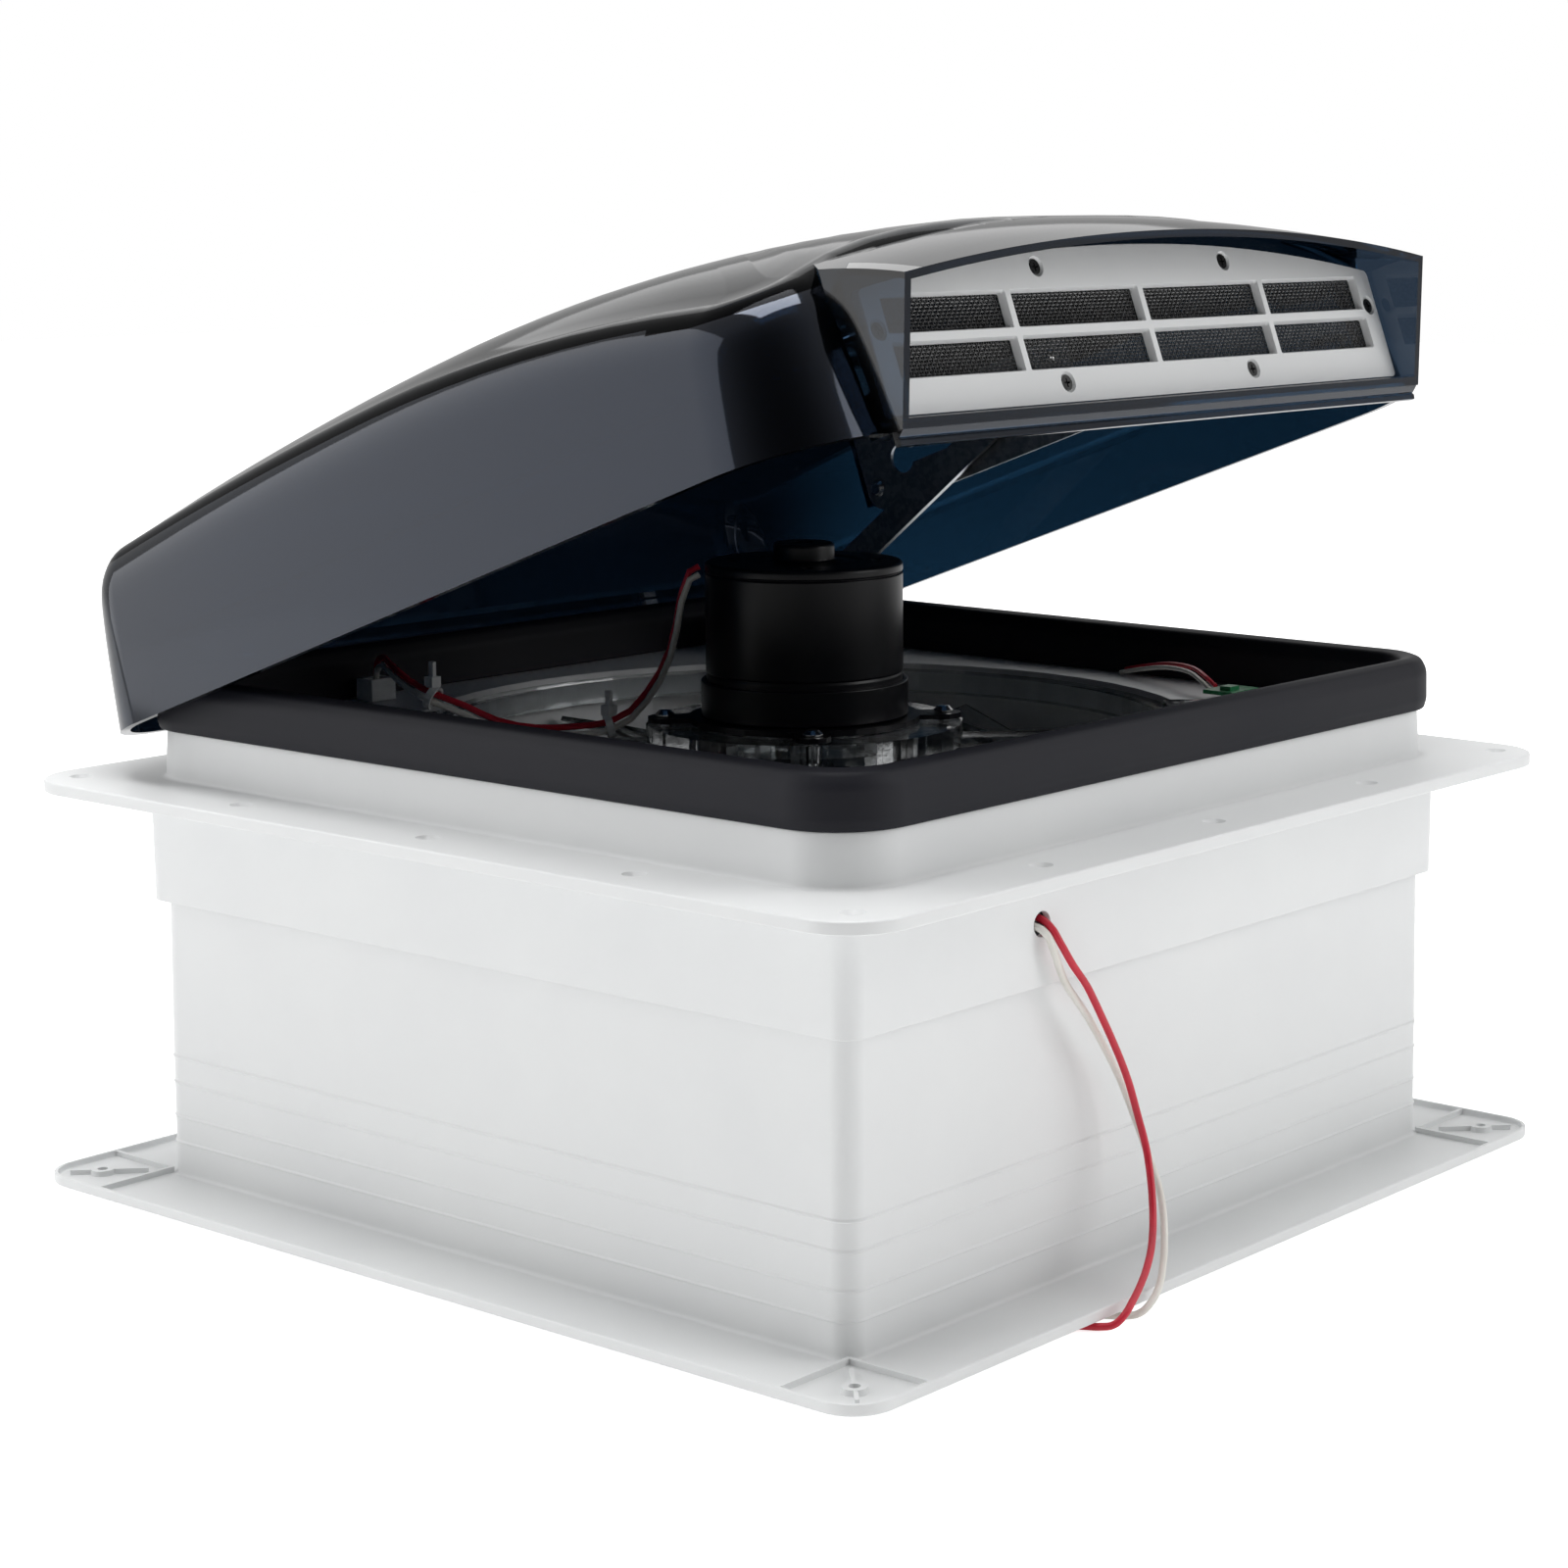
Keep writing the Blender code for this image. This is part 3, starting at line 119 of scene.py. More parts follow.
WHITE_LEAD = [(-0.0790, -0.1660, 0.1322), (-0.0790, -0.1720, 0.1320), (-0.0788, -0.1778, 0.1302),
              (-0.0768, -0.1800, 0.1240), (-0.0700, -0.1795, 0.1120), (-0.0594, -0.1800, 0.0995),
              (-0.0498, -0.1805, 0.0865), (-0.0418, -0.1815, 0.0735), (-0.0369, -0.1840, 0.0600),
              (-0.0350, -0.1885, 0.0470), (-0.0363, -0.1950, 0.0345), (-0.0425, -0.2015, 0.0240),
              (-0.0506, -0.2070, 0.0150), (-0.0575, -0.2102, 0.0088), (-0.0637, -0.2108, 0.0045),
              (-0.0675, -0.2095, 0.0023), (-0.0703, -0.2066, 0.0016), (-0.0735, -0.2020, 0.0016),
              (-0.0765, -0.1965, 0.0016), (-0.0790, -0.1915, 0.0016)]


# ---------------------------------------------------------------- camera
def place_camera():
    made = bpy.data.cameras.new("camera")
    made.lens = CAMERA_LENS
    made.sensor_width = 36.0
    made.shift_x, made.shift_y = CAMERA_SHIFT
    made.clip_start = 0.01
    holder = bpy.data.objects.new("camera", made)
    bpy.context.scene.collection.objects.link(holder)
    back = CAMERA_RIGHT.cross(CAMERA_UP)
    turn = Matrix((CAMERA_RIGHT, CAMERA_UP, back)).transposed().to_4x4()
    holder.matrix_world = Matrix.Translation(CAMERA_PLACE) @ turn
    bpy.context.scene.camera = holder


place_camera()


# ---------------------------------------------------------------- materials
def add_node(tree, kind, **values):
    made = tree.nodes.new(kind)
    for name, value in values.items():
        key = name.replace("_", " ").title()
        made.inputs[key].default_value = value
    return made


def grey(value):
    return (value, value, value)


DRIFT_SPAN = (0.25, 0.75)                             # noise values that give the two ends of a finish
SOCKETS = {"transmission": "Transmission Weight", "ior": "IOR", "tint": "Specular Tint",
           "specular": "Specular IOR Level"}


def surface(name, dark, light, patch, rough, grain, depth, metallic=0.0, cells=False, **shader_values):
    """A finish whose colour and roughness drift over patches, with a fine grain in its bump.

    patch and grain are noise scales per metre, rough is the range of roughness, depth the grain's
    height in metres. cells makes the patches crystal grains, as on zinc plating.
    """
    made = bpy.data.materials.new(name)
    made.use_nodes = True
    tree = made.node_tree
    shader = tree.nodes["Principled BSDF"]
    shader.inputs["Metallic"].default_value = metallic
    for key, value in shader_values.items():
        shader.inputs[SOCKETS[key]].default_value = value
    place = tree.nodes.new("ShaderNodeTexCoord")
    if cells:
        drift = add_node(tree, "ShaderNodeTexVoronoi", Scale=patch)
        drift_out = drift.outputs["Color"]
    else:
        drift = add_node(tree, "ShaderNodeTexNoise", Scale=patch, Detail=4.0, Roughness=0.55)
        drift_out = drift.outputs["Fac"]
    tree.links.new(place.outputs["Object"], drift.inputs["Vector"])
    ramp = tree.nodes.new("ShaderNodeValToRGB")
    ramp.color_ramp.elements[0].position, ramp.color_ramp.elements[1].position = DRIFT_SPAN
    ramp.color_ramp.elements[0].color = (*dark, 1.0)
    ramp.color_ramp.elements[1].color = (*light, 1.0)
    tree.links.new(drift_out, ramp.inputs["Fac"])
    tree.links.new(ramp.outputs["Color"], shader.inputs["Base Color"])
    spread = tree.nodes.new("ShaderNodeMapRange")
    spread.inputs["From Min"].default_value, spread.inputs["From Max"].default_value = DRIFT_SPAN
    spread.inputs["To Min"].default_value, spread.inputs["To Max"].default_value = rough
    tree.links.new(drift_out, spread.inputs["Value"])
    tree.links.new(spread.outputs["Result"], shader.inputs["Roughness"])
    fine = add_node(tree, "ShaderNodeTexNoise", Scale=grain, Detail=3.0)
    tree.links.new(place.outputs["Object"], fine.inputs["Vector"])
    bump = tree.nodes.new("ShaderNodeBump")
    bump.inputs["Distance"].default_value = depth
    tree.links.new(fine.outputs["Fac"], bump.inputs["Height"])
    tree.links.new(bump.outputs["Normal"], shader.inputs["Normal"])
    return made


# painted shade: the dark colour that the lid's rear walls and crown take, standing in for the little light
# from behind and above
REAR_PAINTED_SHADE = (0.0010, 0.0024, 0.0050)
REAR_FADE = (0.105, 0.190)                            # Y between which painted shade darkens the lid's walls towards the rear
FINISH = {
    "white_plastic": surface("white_plastic", (0.77, 0.78, 0.785), (0.81, 0.82, 0.82), 14, (0.36, 0.48),
                             1500, 0.00002),
    "smoke_acrylic": surface("smoke_acrylic", (0.0050, 0.0200, 0.0430), (0.0056, 0.0225, 0.0480), 5,
                             (0.05, 0.08), 12, 0.000001, transmission=1.0, ior=1.49,
                             tint=(0.72, 0.80, 1.0, 1.0)),
    # painted shade: a darker copy of the smoked acrylic for the lid's upward and downward crown faces,
    # standing in for the weak light from above; its low IOR dims its reflection
    "crown_acrylic_painted_shade": surface("crown_acrylic_painted_shade", REAR_PAINTED_SHADE, (0.0013, 0.0030, 0.0060), 5,
                             (0.05, 0.08), 12, 0.000001, transmission=1.0, ior=1.12,
                             tint=(0.72, 0.80, 1.0, 1.0)),
    "hood_acrylic": surface("hood_acrylic", (0.042, 0.068, 0.110), (0.048, 0.078, 0.124), 5,
                            (0.03, 0.06), 12, 0.000001, transmission=1.0, ior=1.49),
    "clear_polycarbonate": surface("clear_polycarbonate", (0.90, 0.93, 0.95), (0.95, 0.97, 0.98), 30,
                                   (0.03, 0.10), 260, 0.00004, transmission=1.0, ior=1.45),
    "seal_rubber": surface("seal_rubber", (0.0060, 0.0062, 0.0105), (0.0090, 0.0094, 0.0145), 18,
                           (0.52, 0.62), 2600, 0.00003, specular=0.25),
    "black_motor_paint": surface("black_motor_paint", (0.0022, 0.0024, 0.0040), (0.0042, 0.0046, 0.0068),
                                 25, (0.28, 0.34), 1800, 0.000006, specular=0.28),
    "zinc_steel": surface("zinc_steel", (0.44, 0.46, 0.49), (0.56, 0.58, 0.60), 520, (0.30, 0.40), 900,
                          0.000004, metallic=1.0, cells=True),
    "screw_chrome": surface("screw_chrome", grey(0.62), grey(0.78), 300, (0.12, 0.22), 1500, 0.00001,
                            metallic=1.0),
    "black_screw": surface("black_screw", grey(0.02), grey(0.05), 500, (0.28, 0.42), 1600, 0.00002,
                           metallic=0.7),
    "screen_mesh": surface("screen_mesh", grey(0.14), grey(0.26), 800, (0.20, 0.32), 2500, 0.000005,
                           metallic=0.7),
    "winding_copper": surface("winding_copper", (0.50, 0.20, 0.08), (0.72, 0.34, 0.16), 900, (0.22, 0.38),
                              1500, 0.00010, metallic=1.0),
    "ferrite": surface("ferrite", grey(0.08), grey(0.14), 700, (0.55, 0.70), 2600, 0.00005),
    "brass": surface("brass", (0.58, 0.40, 0.14), (0.78, 0.58, 0.24), 240, (0.20, 0.34), 1600, 0.00002,
                     metallic=1.0),
    "circuit_board": surface("circuit_board", (0.010, 0.14, 0.05), (0.020, 0.24, 0.09), 900, (0.25, 0.40),
                             2400, 0.00003),
    "red_wire": surface("red_wire", (0.50, 0.010, 0.030), (0.62, 0.016, 0.042), 90, (0.32, 0.44), 2400,
                        0.00002),
    "white_wire": surface("white_wire", (0.74, 0.72, 0.66), (0.82, 0.80, 0.75), 90, (0.36, 0.48), 2400,
                          0.00002),
    "natural_nylon": surface("natural_nylon", (0.70, 0.72, 0.72), (0.82, 0.84, 0.84), 150, (0.34, 0.48),
                             1800, 0.00002),
    "grey_plastic": surface("grey_plastic", grey(0.36), grey(0.44), 40, (0.40, 0.55), 2200, 0.00003),
}


def paint_shade_rearward(material, colour, start, end):
    """Paints shade into a finish: fades it to a darker colour between two places along Y."""
    tree = material.node_tree
    shader = tree.nodes["Principled BSDF"]
    plain = shader.inputs["Base Color"].links[0].from_socket
    split = tree.nodes.new("ShaderNodeSeparateXYZ")
    tree.links.new(tree.nodes["Texture Coordinate"].outputs["Object"], split.inputs["Vector"])
    fade = tree.nodes.new("ShaderNodeMapRange")
    fade.interpolation_type = "SMOOTHSTEP"
    fade.inputs["From Min"].default_value = start
    fade.inputs["From Max"].default_value = end
    tree.links.new(split.outputs["Y"], fade.inputs["Value"])
    mixed = tree.nodes.new("ShaderNodeMixRGB")
    mixed.inputs["Color2"].default_value = (*colour, 1.0)
    tree.links.new(fade.outputs["Result"], mixed.inputs["Fac"])
    tree.links.new(plain, mixed.inputs["Color1"])
    tree.links.new(mixed.outputs["Color"], shader.inputs["Base Color"])


# painted shade: the lid's walls darken towards the rear
paint_shade_rearward(FINISH["smoke_acrylic"], REAR_PAINTED_SHADE, *REAR_FADE)


# ---------------------------------------------------------------- mesh builders
def add_object(name, mesh):
    made = bpy.data.objects.new(name, mesh)
    bpy.context.scene.collection.objects.link(made)
    return made


def from_bmesh(name, shape):
    bmesh.ops.recalc_face_normals(shape, faces=shape.faces)
    mesh = bpy.data.meshes.new(name)
    shape.to_mesh(mesh)
    shape.free()
    return add_object(name, mesh)


def box(name, low, high):
    shape = bmesh.new()
    bmesh.ops.create_cube(shape, size=1.0)
    low, high = Vector(low), Vector(high)
    bmesh.ops.scale(shape, vec=high - low, verts=shape.verts)
    bmesh.ops.translate(shape, vec=(low + high) / 2, verts=shape.verts)
    return from_bmesh(name, shape)


def cylinder(name, start, end, radius, end_radius=None, sides=32):
    start, end = Vector(start), Vector(end)
    shape = bmesh.new()
    bmesh.ops.create_cone(shape, cap_ends=True, segments=sides, radius1=radius,
                          radius2=radius if end_radius is None else end_radius,
                          depth=(end - start).length)
    turn = Vector((0, 0, 1)).rotation_difference(end - start).to_matrix().to_4x4()
    bmesh.ops.transform(shape, matrix=Matrix.Translation((start + end) / 2) @ turn, verts=shape.verts)
    return from_bmesh(name, shape)


def loft(name, rings, closed=False):
    """Joins rings of equal length; a closed loft runs round to its first ring."""
    shape = bmesh.new()
    rows = [[shape.verts.new(point) for point in ring] for ring in rings]
    count = len(rows[0])
    pairs = list(zip(rows, rows[1:]))
    if closed:
        pairs.append((rows[-1], rows[0]))
    else:
        shape.faces.new(rows[0])
        shape.faces.new(rows[-1])
    for low, high in pairs:
        for i in range(count):
            j = (i + 1) % count
            shape.faces.new((low[i], low[j], high[j], high[i]))
    return from_bmesh(name, shape)


def spun(name, profile, steps=64, place=(0.0, 0.0)):
    """A closed (radius, height) profile turned about a vertical axis."""
    rings = []
    for step in range(steps):
        angle = 2 * math.pi * step / steps
        rings.append([(place[0] + r * math.cos(angle), place[1] + r * math.sin(angle), z)
                      for r, z in profile])
    made = loft(name, rings, closed=True)
    shape = bmesh.new()
    shape.from_mesh(made.data)
    bmesh.ops.remove_doubles(shape, verts=shape.verts, dist=0.000001)
    bmesh.ops.recalc_face_normals(shape, faces=shape.faces)
    shape.to_mesh(made.data)
    shape.free()
    return made


def eased(points, steps=4):
    """Rounds the corners of a closed loop. A point is a Vector and the rounding at it in metres."""
    loop = []
    for i, (here, ease) in enumerate(points):
        before = points[i - 1][0]
        after = points[(i + 1) % len(points)][0]
        if ease == 0.0:
            loop.append(here)
            continue
        start = here + (before - here).normalized() * min(ease, 0.45 * (before - here).length)
        end = here + (after - here).normalized() * min(ease, 0.45 * (after - here).length)
        for step in range(steps + 1):
            t = step / steps
            loop.append((1 - t) ** 2 * start + 2 * t * (1 - t) * here + t ** 2 * end)
    return loop


def round_outline(half, front, rear, front_corner, rear_corner, arc=12, straight=1):
    """Points round a rectangle with arc corners: front is -Y and rear is +Y."""
    corners = ((half, front, front_corner, -90), (half, rear, rear_corner, 0),
               (-half, rear, rear_corner, 90), (-half, front, front_corner, 180))
    points = []
    for x, y, radius, start in corners:
        centre = Vector((x - math.copysign(radius, x), y - math.copysign(radius, y)))
        for step in range(arc + 1):
            angle = math.radians(start + 90.0 * step / arc)
            points.append(centre + radius * Vector((math.cos(angle), math.sin(angle))))
    filled = []
    for i, point in enumerate(points):
        filled.append(point)
        if straight > 1 and i % (arc + 1) == arc:
            following = points[(i + 1) % len(points)]
            for step in range(1, straight):
                filled.append(point.lerp(following, step / straight))
    return filled


def square_ring(name, stations, arc=12):
    """A moulding round a square: stations are (half width, corner radius, height, rounding)."""
    loop = eased([(Vector(station[:3]), station[3]) for station in stations])
    rings = []
    for half, corner, z in loop:
        rings.append([(p.x, p.y, z) for p in round_outline(half, -half, half, corner, corner, arc)])
    return loft(name, rings, closed=True)


def plate(name, outline, low, high):
    return loft(name, [[(p[0], p[1], z) for p in outline] for z in (low, high)])


def side_plate(name, outline, low, high):
    return loft(name, [[(x, p[0], p[1]) for p in outline] for x in (low, high)])


def boolean(obj, *steps):
    """Applies (operation, tool) steps in order and removes the tools."""
    for number, (operation, tool) in enumerate(steps):
        change = obj.modifiers.new(f"step_{number}", "BOOLEAN")
        change.operation = operation
        change.solver = "EXACT"
        change.object = tool
    settled = bpy.data.meshes.new_from_object(obj.evaluated_get(bpy.context.evaluated_depsgraph_get()))
    obj.modifiers.clear()
    obj.data = settled
    for _, tool in steps:
        bpy.data.objects.remove(tool, do_unlink=True)
    return obj


def merged(name, pieces):
    """One object from several, which may stand apart."""
    shape = bmesh.new()
    for piece in pieces:
        shape.from_mesh(piece.data)
        bpy.data.objects.remove(piece, do_unlink=True)
    return from_bmesh(name, shape)


CREASE = 35.0                                         # degrees from which an edge stays sharp


def smooth(obj, angle):
    """Smooth shading with sharp creases kept; flat faces stay flat."""
    for face in obj.data.polygons:
        face.use_smooth = True
    obj.data.set_sharp_from_angle(angle=math.radians(angle))
    weigh = obj.modifiers.new("flat faces", "WEIGHTED_NORMAL")
    weigh.keep_sharp = True
    weigh.weight = 80
    return obj


def dress(obj, body, finish, *nodes, angle=CREASE):
    """Gives a piece its finish, shading and body, and hides the CAD nodes that it stands for."""
    obj.data.materials.clear()
    obj.data.materials.append(FINISH[finish])
    if obj.type == "MESH":
        smooth(obj, angle)
    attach(obj, body)
    if nodes:
        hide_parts(*nodes)
    return obj


def into_lid(obj):
    """Moves a mesh made in the lid's frame to its place on the open lid."""
    obj.data.transform(LID_PLACE)
    return obj


# ---------------------------------------------------------------- supply leads
def smooth_route(points, spacing):
    """Points along a Catmull-Rom curve through the route, about one spacing apart."""
    points = [Vector(p) for p in points]
    ends = [2 * points[0] - points[1], *points, 2 * points[-1] - points[-2]]
    route = []
    for before, start, end, after in zip(ends, ends[1:], ends[2:], ends[3:]):
        count = max(1, round((end - start).length / spacing))
        for step in range(count):
            t = step / count
            route.append(0.5 * (2 * start + (end - before) * t
                                + (2 * before - 5 * start + 4 * end - after) * t ** 2
                                + (3 * start - before - 3 * end + after) * t ** 3))
    route.append(points[-1])
    return route


def tube(name, route, radius, resolution=4):
    curve = bpy.data.curves.new(name, "CURVE")
    curve.dimensions = "3D"
    curve.bevel_depth = radius
    curve.bevel_resolution = resolution
    curve.resolution_u = 4
    curve.use_fill_caps = True
    spline = curve.splines.new("BEZIER")
    spline.bezier_points.add(len(route) - 1)
    for slot, point in zip(spline.bezier_points, route):
        slot.co = point
        slot.handle_left_type = "AUTO"
        slot.handle_right_type = "AUTO"
    return add_object(name, curve)


def feed_lead(colour, points):
    route = smooth_route(points, 3.0 * LEAD_DIAMETER)
    lead = tube(f"supply_lead_{colour}", route, LEAD_DIAMETER / 2)
    dress(lead, "base", f"{colour}_wire", f"feed_lead_{colour}")
    along = (route[-1] - route[-2]).normalized()
    strands = []
    for number in range(STRANDS_ROUND + 1):
        turn = 2 * math.pi * number / STRANDS_ROUND
        spread = 0.0 if number == STRANDS_ROUND else STRAND_SPREAD
        offset = Vector((0.0, 0.0, math.sin(turn))) * spread
        offset += along.cross(Vector((0, 0, 1))) * math.cos(turn) * spread
        start = route[-1] - along * 0.0006 + offset
        strands.append(cylinder(f"strand_{number}", start, start + along * STRAND_LONG, STRAND_RADIUS,
                                sides=8))
    tip = dress(merged(f"bare_tip_{colour}", strands), "base", "winding_copper")


feed_lead("red", RED_LEAD)
feed_lead("white", WHITE_LEAD)


# ---------------------------------------------------------------- ceiling trim
def trim_frame():
    stations = [(0.1712, 0.0080, 0.1200, 0.0004)]
    for z in reversed(SCORE_HEIGHTS):
        stations += [(0.1716, 0.0080, z + 0.0007, 0.0002), (0.1720, 0.0084, z + 0.0001, 0.0003),
                     (0.1720, 0.0084, z - 0.0003, 0.0002), (0.1716, 0.0080, z - 0.0006, 0.0002)]
    stations += [
        (0.1716, 0.0080, 0.0050, 0.0016), (0.2044, 0.0134, 0.0050, 0.0008),
        (0.2044, 0.0134, 0.0074, 0.0005), (0.2060, 0.0150, 0.0074, 0.0006),
        (0.2060, 0.0150, 0.0032, 0.0012), (0.1832, 0.0120, 0.0032, 0.0008),
        (0.1800, 0.0110, 0.0000, 0.0006), (0.1691, 0.0060, 0.0000, 0.0012),
        (0.1691, 0.0060, 0.0910, 0.0006), (0.1651, 0.0040, 0.0930, 0.0003),
        (0.1651, 0.0040, 0.0940, 0.0003), (0.1691, 0.0060, 0.0942, 0.0),
        (0.1687, 0.0060, 0.1200, 0.0004)]
    frame_piece = square_ring("ceiling_trim", stations)
    steps = []
    for sx in (-1, 1):
        for sy in (-1, 1):
            x, y = sx * 0.1890, sy * 0.1890
            post = cylinder("post", (x, y, 0.0042), (x, y, 0.0070), 0.0046, 0.0042)
            along_x = box("rib", (min(sx * 0.1706, sx * 0.2052), sy * 0.1706 - 0.0007, 0.0043),
                          (max(sx * 0.1706, sx * 0.2052), sy * 0.1706 + 0.0007, 0.0071))
            along_y = box("rib", (sx * 0.1706 - 0.0007, min(sy * 0.1706, sy * 0.2052), 0.0044),
                          (sx * 0.1706 + 0.0007, max(sy * 0.1706, sy * 0.2052), 0.0070))
            across = box("rib", (-0.0170, -0.0007, 0.0045), (0.0120, 0.0007, 0.0069))
            turn = Matrix.Rotation(math.atan2(sy, sx), 4, "Z")
            across.data.transform(Matrix.Translation((x, y, 0)) @ turn)
            bore = cylinder("bore", (x, y, -0.002), (x, y, 0.012), 0.0020)
            steps += [("UNION", along_x), ("UNION", along_y), ("UNION", across), ("UNION", post),
                      ("DIFFERENCE", bore)]
    boolean(frame_piece, *steps)
    dress(frame_piece, "base", "white_plastic", "trim_frame")


# ---------------------------------------------------------------- roof base
def roof_base():
    base = square_ring("roof_flange_and_collar", [
        (0.1754, 0.0250, 0.1765, 0.0008), (0.1760, 0.0250, 0.1640, 0.0),
        (0.1760, 0.0250, 0.1580, 0.0016), (0.2068, 0.0220, 0.1580, 0.0009),
        (0.2068, 0.0220, 0.1534, 0.0006), (0.1753, 0.0080, 0.1534, 0.0010),
        (0.1750, 0.0080, 0.1110, 0.0005), (0.1725, 0.0055, 0.1110, 0.0004),
        (0.1725, 0.0055, 0.1544, 0.0), (0.1713, 0.0210, 0.1600, 0.0),
        (0.1713, 0.0210, 0.1765, 0.0004)])
    edge = FLANGE_HOLES[-1]
    holes = []
    for x in FLANGE_HOLES:
        for y in FLANGE_HOLES:
            if edge in (abs(x), abs(y)):
                holes.append(cylinder("hole", (x, y, 0.1500), (x, y, 0.1562), 0.0022, sides=24))
                holes.append(cylinder("sink", (x, y, 0.1560), (x, y, 0.1584), 0.0022, 0.0046, sides=32))
    lead_bore = cylinder("bore", LEAD_HOLE + Vector((0, 0.02, 0)), LEAD_HOLE - Vector((0, 0.02, 0)), 0.0045)
    through = [("DIFFERENCE", hole) for hole in holes]
    boolean(base, *through, ("DIFFERENCE", lead_bore))
    dress(base, "base", "white_plastic", "roof_base")


def lid_seal():
    low = 0.1769
    seal = square_ring("rubber_seal", [
        (0.1780, 0.0270, low, 0.0006), (0.1788, 0.0275, low + 0.0032, 0.0012),
        (0.1786, 0.0272, 0.1915, 0.0020), (0.1765, 0.0250, 0.1955, 0.0015),
        (0.1728, 0.0215, 0.1970, 0.0020), (0.1687, 0.0180, 0.1958, 0.0015),
        (0.1665, 0.0155, 0.1910, 0.0016), (0.1662, 0.0150, low, 0.0006)], arc=20)
    dress(seal, "base", "seal_rubber", "lid_seal")


# ---------------------------------------------------------------- lid
def crown(x, run):
    """Rise of the outer top skin over the hinge at X and a run forward of it."""
    drop = FRONT_DROP if run > CROWN_RUN else REAR_DROP
    lengthwise = drop * ((run - CROWN_RUN) / CROWN_SPAN) ** 2
    crosswise = SIDE_DROP * abs(x / SIDE_PLACE) ** SIDE_POWER
    nose = NOSE_BEND * max(0.0, run - NOSE_RUN) ** 2
    return CROWN_RISE - lengthwise - crosswise - nose


def lid_body(name, inset, rim):
    """The lid's closed outer form, or the hollow inside it, as rings from rim to crown."""
    arc, straight = 14, 16
    wall = [Vector(p) for p in ((0.0, 0.0), (0.0018, 0.30), (0.0040, 0.60), (0.0062, 0.78), (0.0105, 0.90),
                                (0.0160, 0.97), (0.0230, 1.0))]
    wall_rings = []
    for i, (start, end) in enumerate(zip(wall, wall[1:])):
        before = wall[i - 1] if i else 2 * start - end
        after = wall[i + 2] if i + 2 < len(wall) else Vector((0.0330, 1.0))
        for step in range(3):
            t = step / 3
            wall_rings.append(0.5 * (2 * start + (end - before) * t
                                     + (2 * before - 5 * start + 4 * end - after) * t ** 2
                                     + (3 * start - before - 3 * end + after) * t ** 3))
    wall_rings.append(wall[-1])

    def outline(depth):
        half = LID_HALF - depth
        front = -LID_FRONT + depth
        rear = -LID_REAR - depth
        middle = (front + rear) / 2
        points = round_outline(half, front - middle, rear - middle, max(0.040 - depth, 0.008),
                               max(0.030 - depth, 0.006), arc, straight)
        return [(p.x, p.y + middle) for p in points]

    rings = []
    edge = outline(wall[-1][0] + inset)
    for depth, share in wall_rings:
        ring_points = []
        for (x, y), (ex, ey) in zip(outline(depth + inset), edge):
            top = crown(ex, -ey) - inset
            ring_points.append((x, y, rim + share * (top - rim)))
        rings.append(ring_points)
    depth = 0.0300
    while depth < 0.146:
        rings.append([(x, y, crown(x, -y) - inset) for x, y in outline(depth + inset)])
        depth += 0.0115
    centre_y = -(LID_FRONT + LID_REAR) / 2
    inner = outline(0.145 + inset)
    for scale in (0.75, 0.5, 0.25, 0.05):
        ring_points = []
        for x, y in inner:
            px, py = x * scale, centre_y + (y - centre_y) * scale
            ring_points.append((px, py, crown(px, -py) - inset))
        rings.append(ring_points)
    return loft(name, rings)


def hood_body(name, inset, back, reach, chamfer=0.0):
    """Duct that carries the grille; its roof carries on the crown and its mouth leans forward."""
    def roof(x, run):
        arch = HOOD_ARCH + HOOD_FALL * (HOOD_MOUTH - run)
        return crown(0.0, run) - arch * (x / HOOD_HALF) ** 2 - inset

    low = HOOD_LOW + inset
    half = HOOD_HALF - inset
    stations = 36
    sections = []
    for step in range(stations + 1):
        x = half * (2 * step / stations - 1)
        run = HOOD_FRONT
        for _ in range(8):
            run = HOOD_FRONT + HOOD_LEAN * (roof(x, run) - HOOD_LOW)
        start = back + chamfer * max(0.0, abs(x) - HOOD_SHOULDER)
        section = []
        for part in range(7):
            forward = start + (run - start) * part / 6
            section.append((x, -forward, roof(x, forward)))
        mouth_low = HOOD_FRONT + HOOD_LEAN * inset
        if reach:
            section.append((x, -run - reach, section[-1][2]))
        section += [(x, -mouth_low - reach, low), (x, -start, low)]
        sections.append(section)
    return loft(name, sections)


def hood_lip():
    """Drip lip that hangs from the mouth's lower edge, with a groove along its face."""
    profile = [(0.3768, 0.0000), (0.3768, -0.0092), (0.3790, -0.0092), (0.3793, -0.0074), (0.3787, -0.0068),
               (0.3795, -0.0062), (0.3815, -0.0045), (0.3815, -0.0018), (0.3790, 0.0000)]
    outline = eased([(Vector((-run, rise)), 0.0003) for run, rise in profile], 2)
    reach = HOOD_HALF - 0.0006
    return side_plate("lip", [(p.x, p.y) for p in outline], -reach, reach)


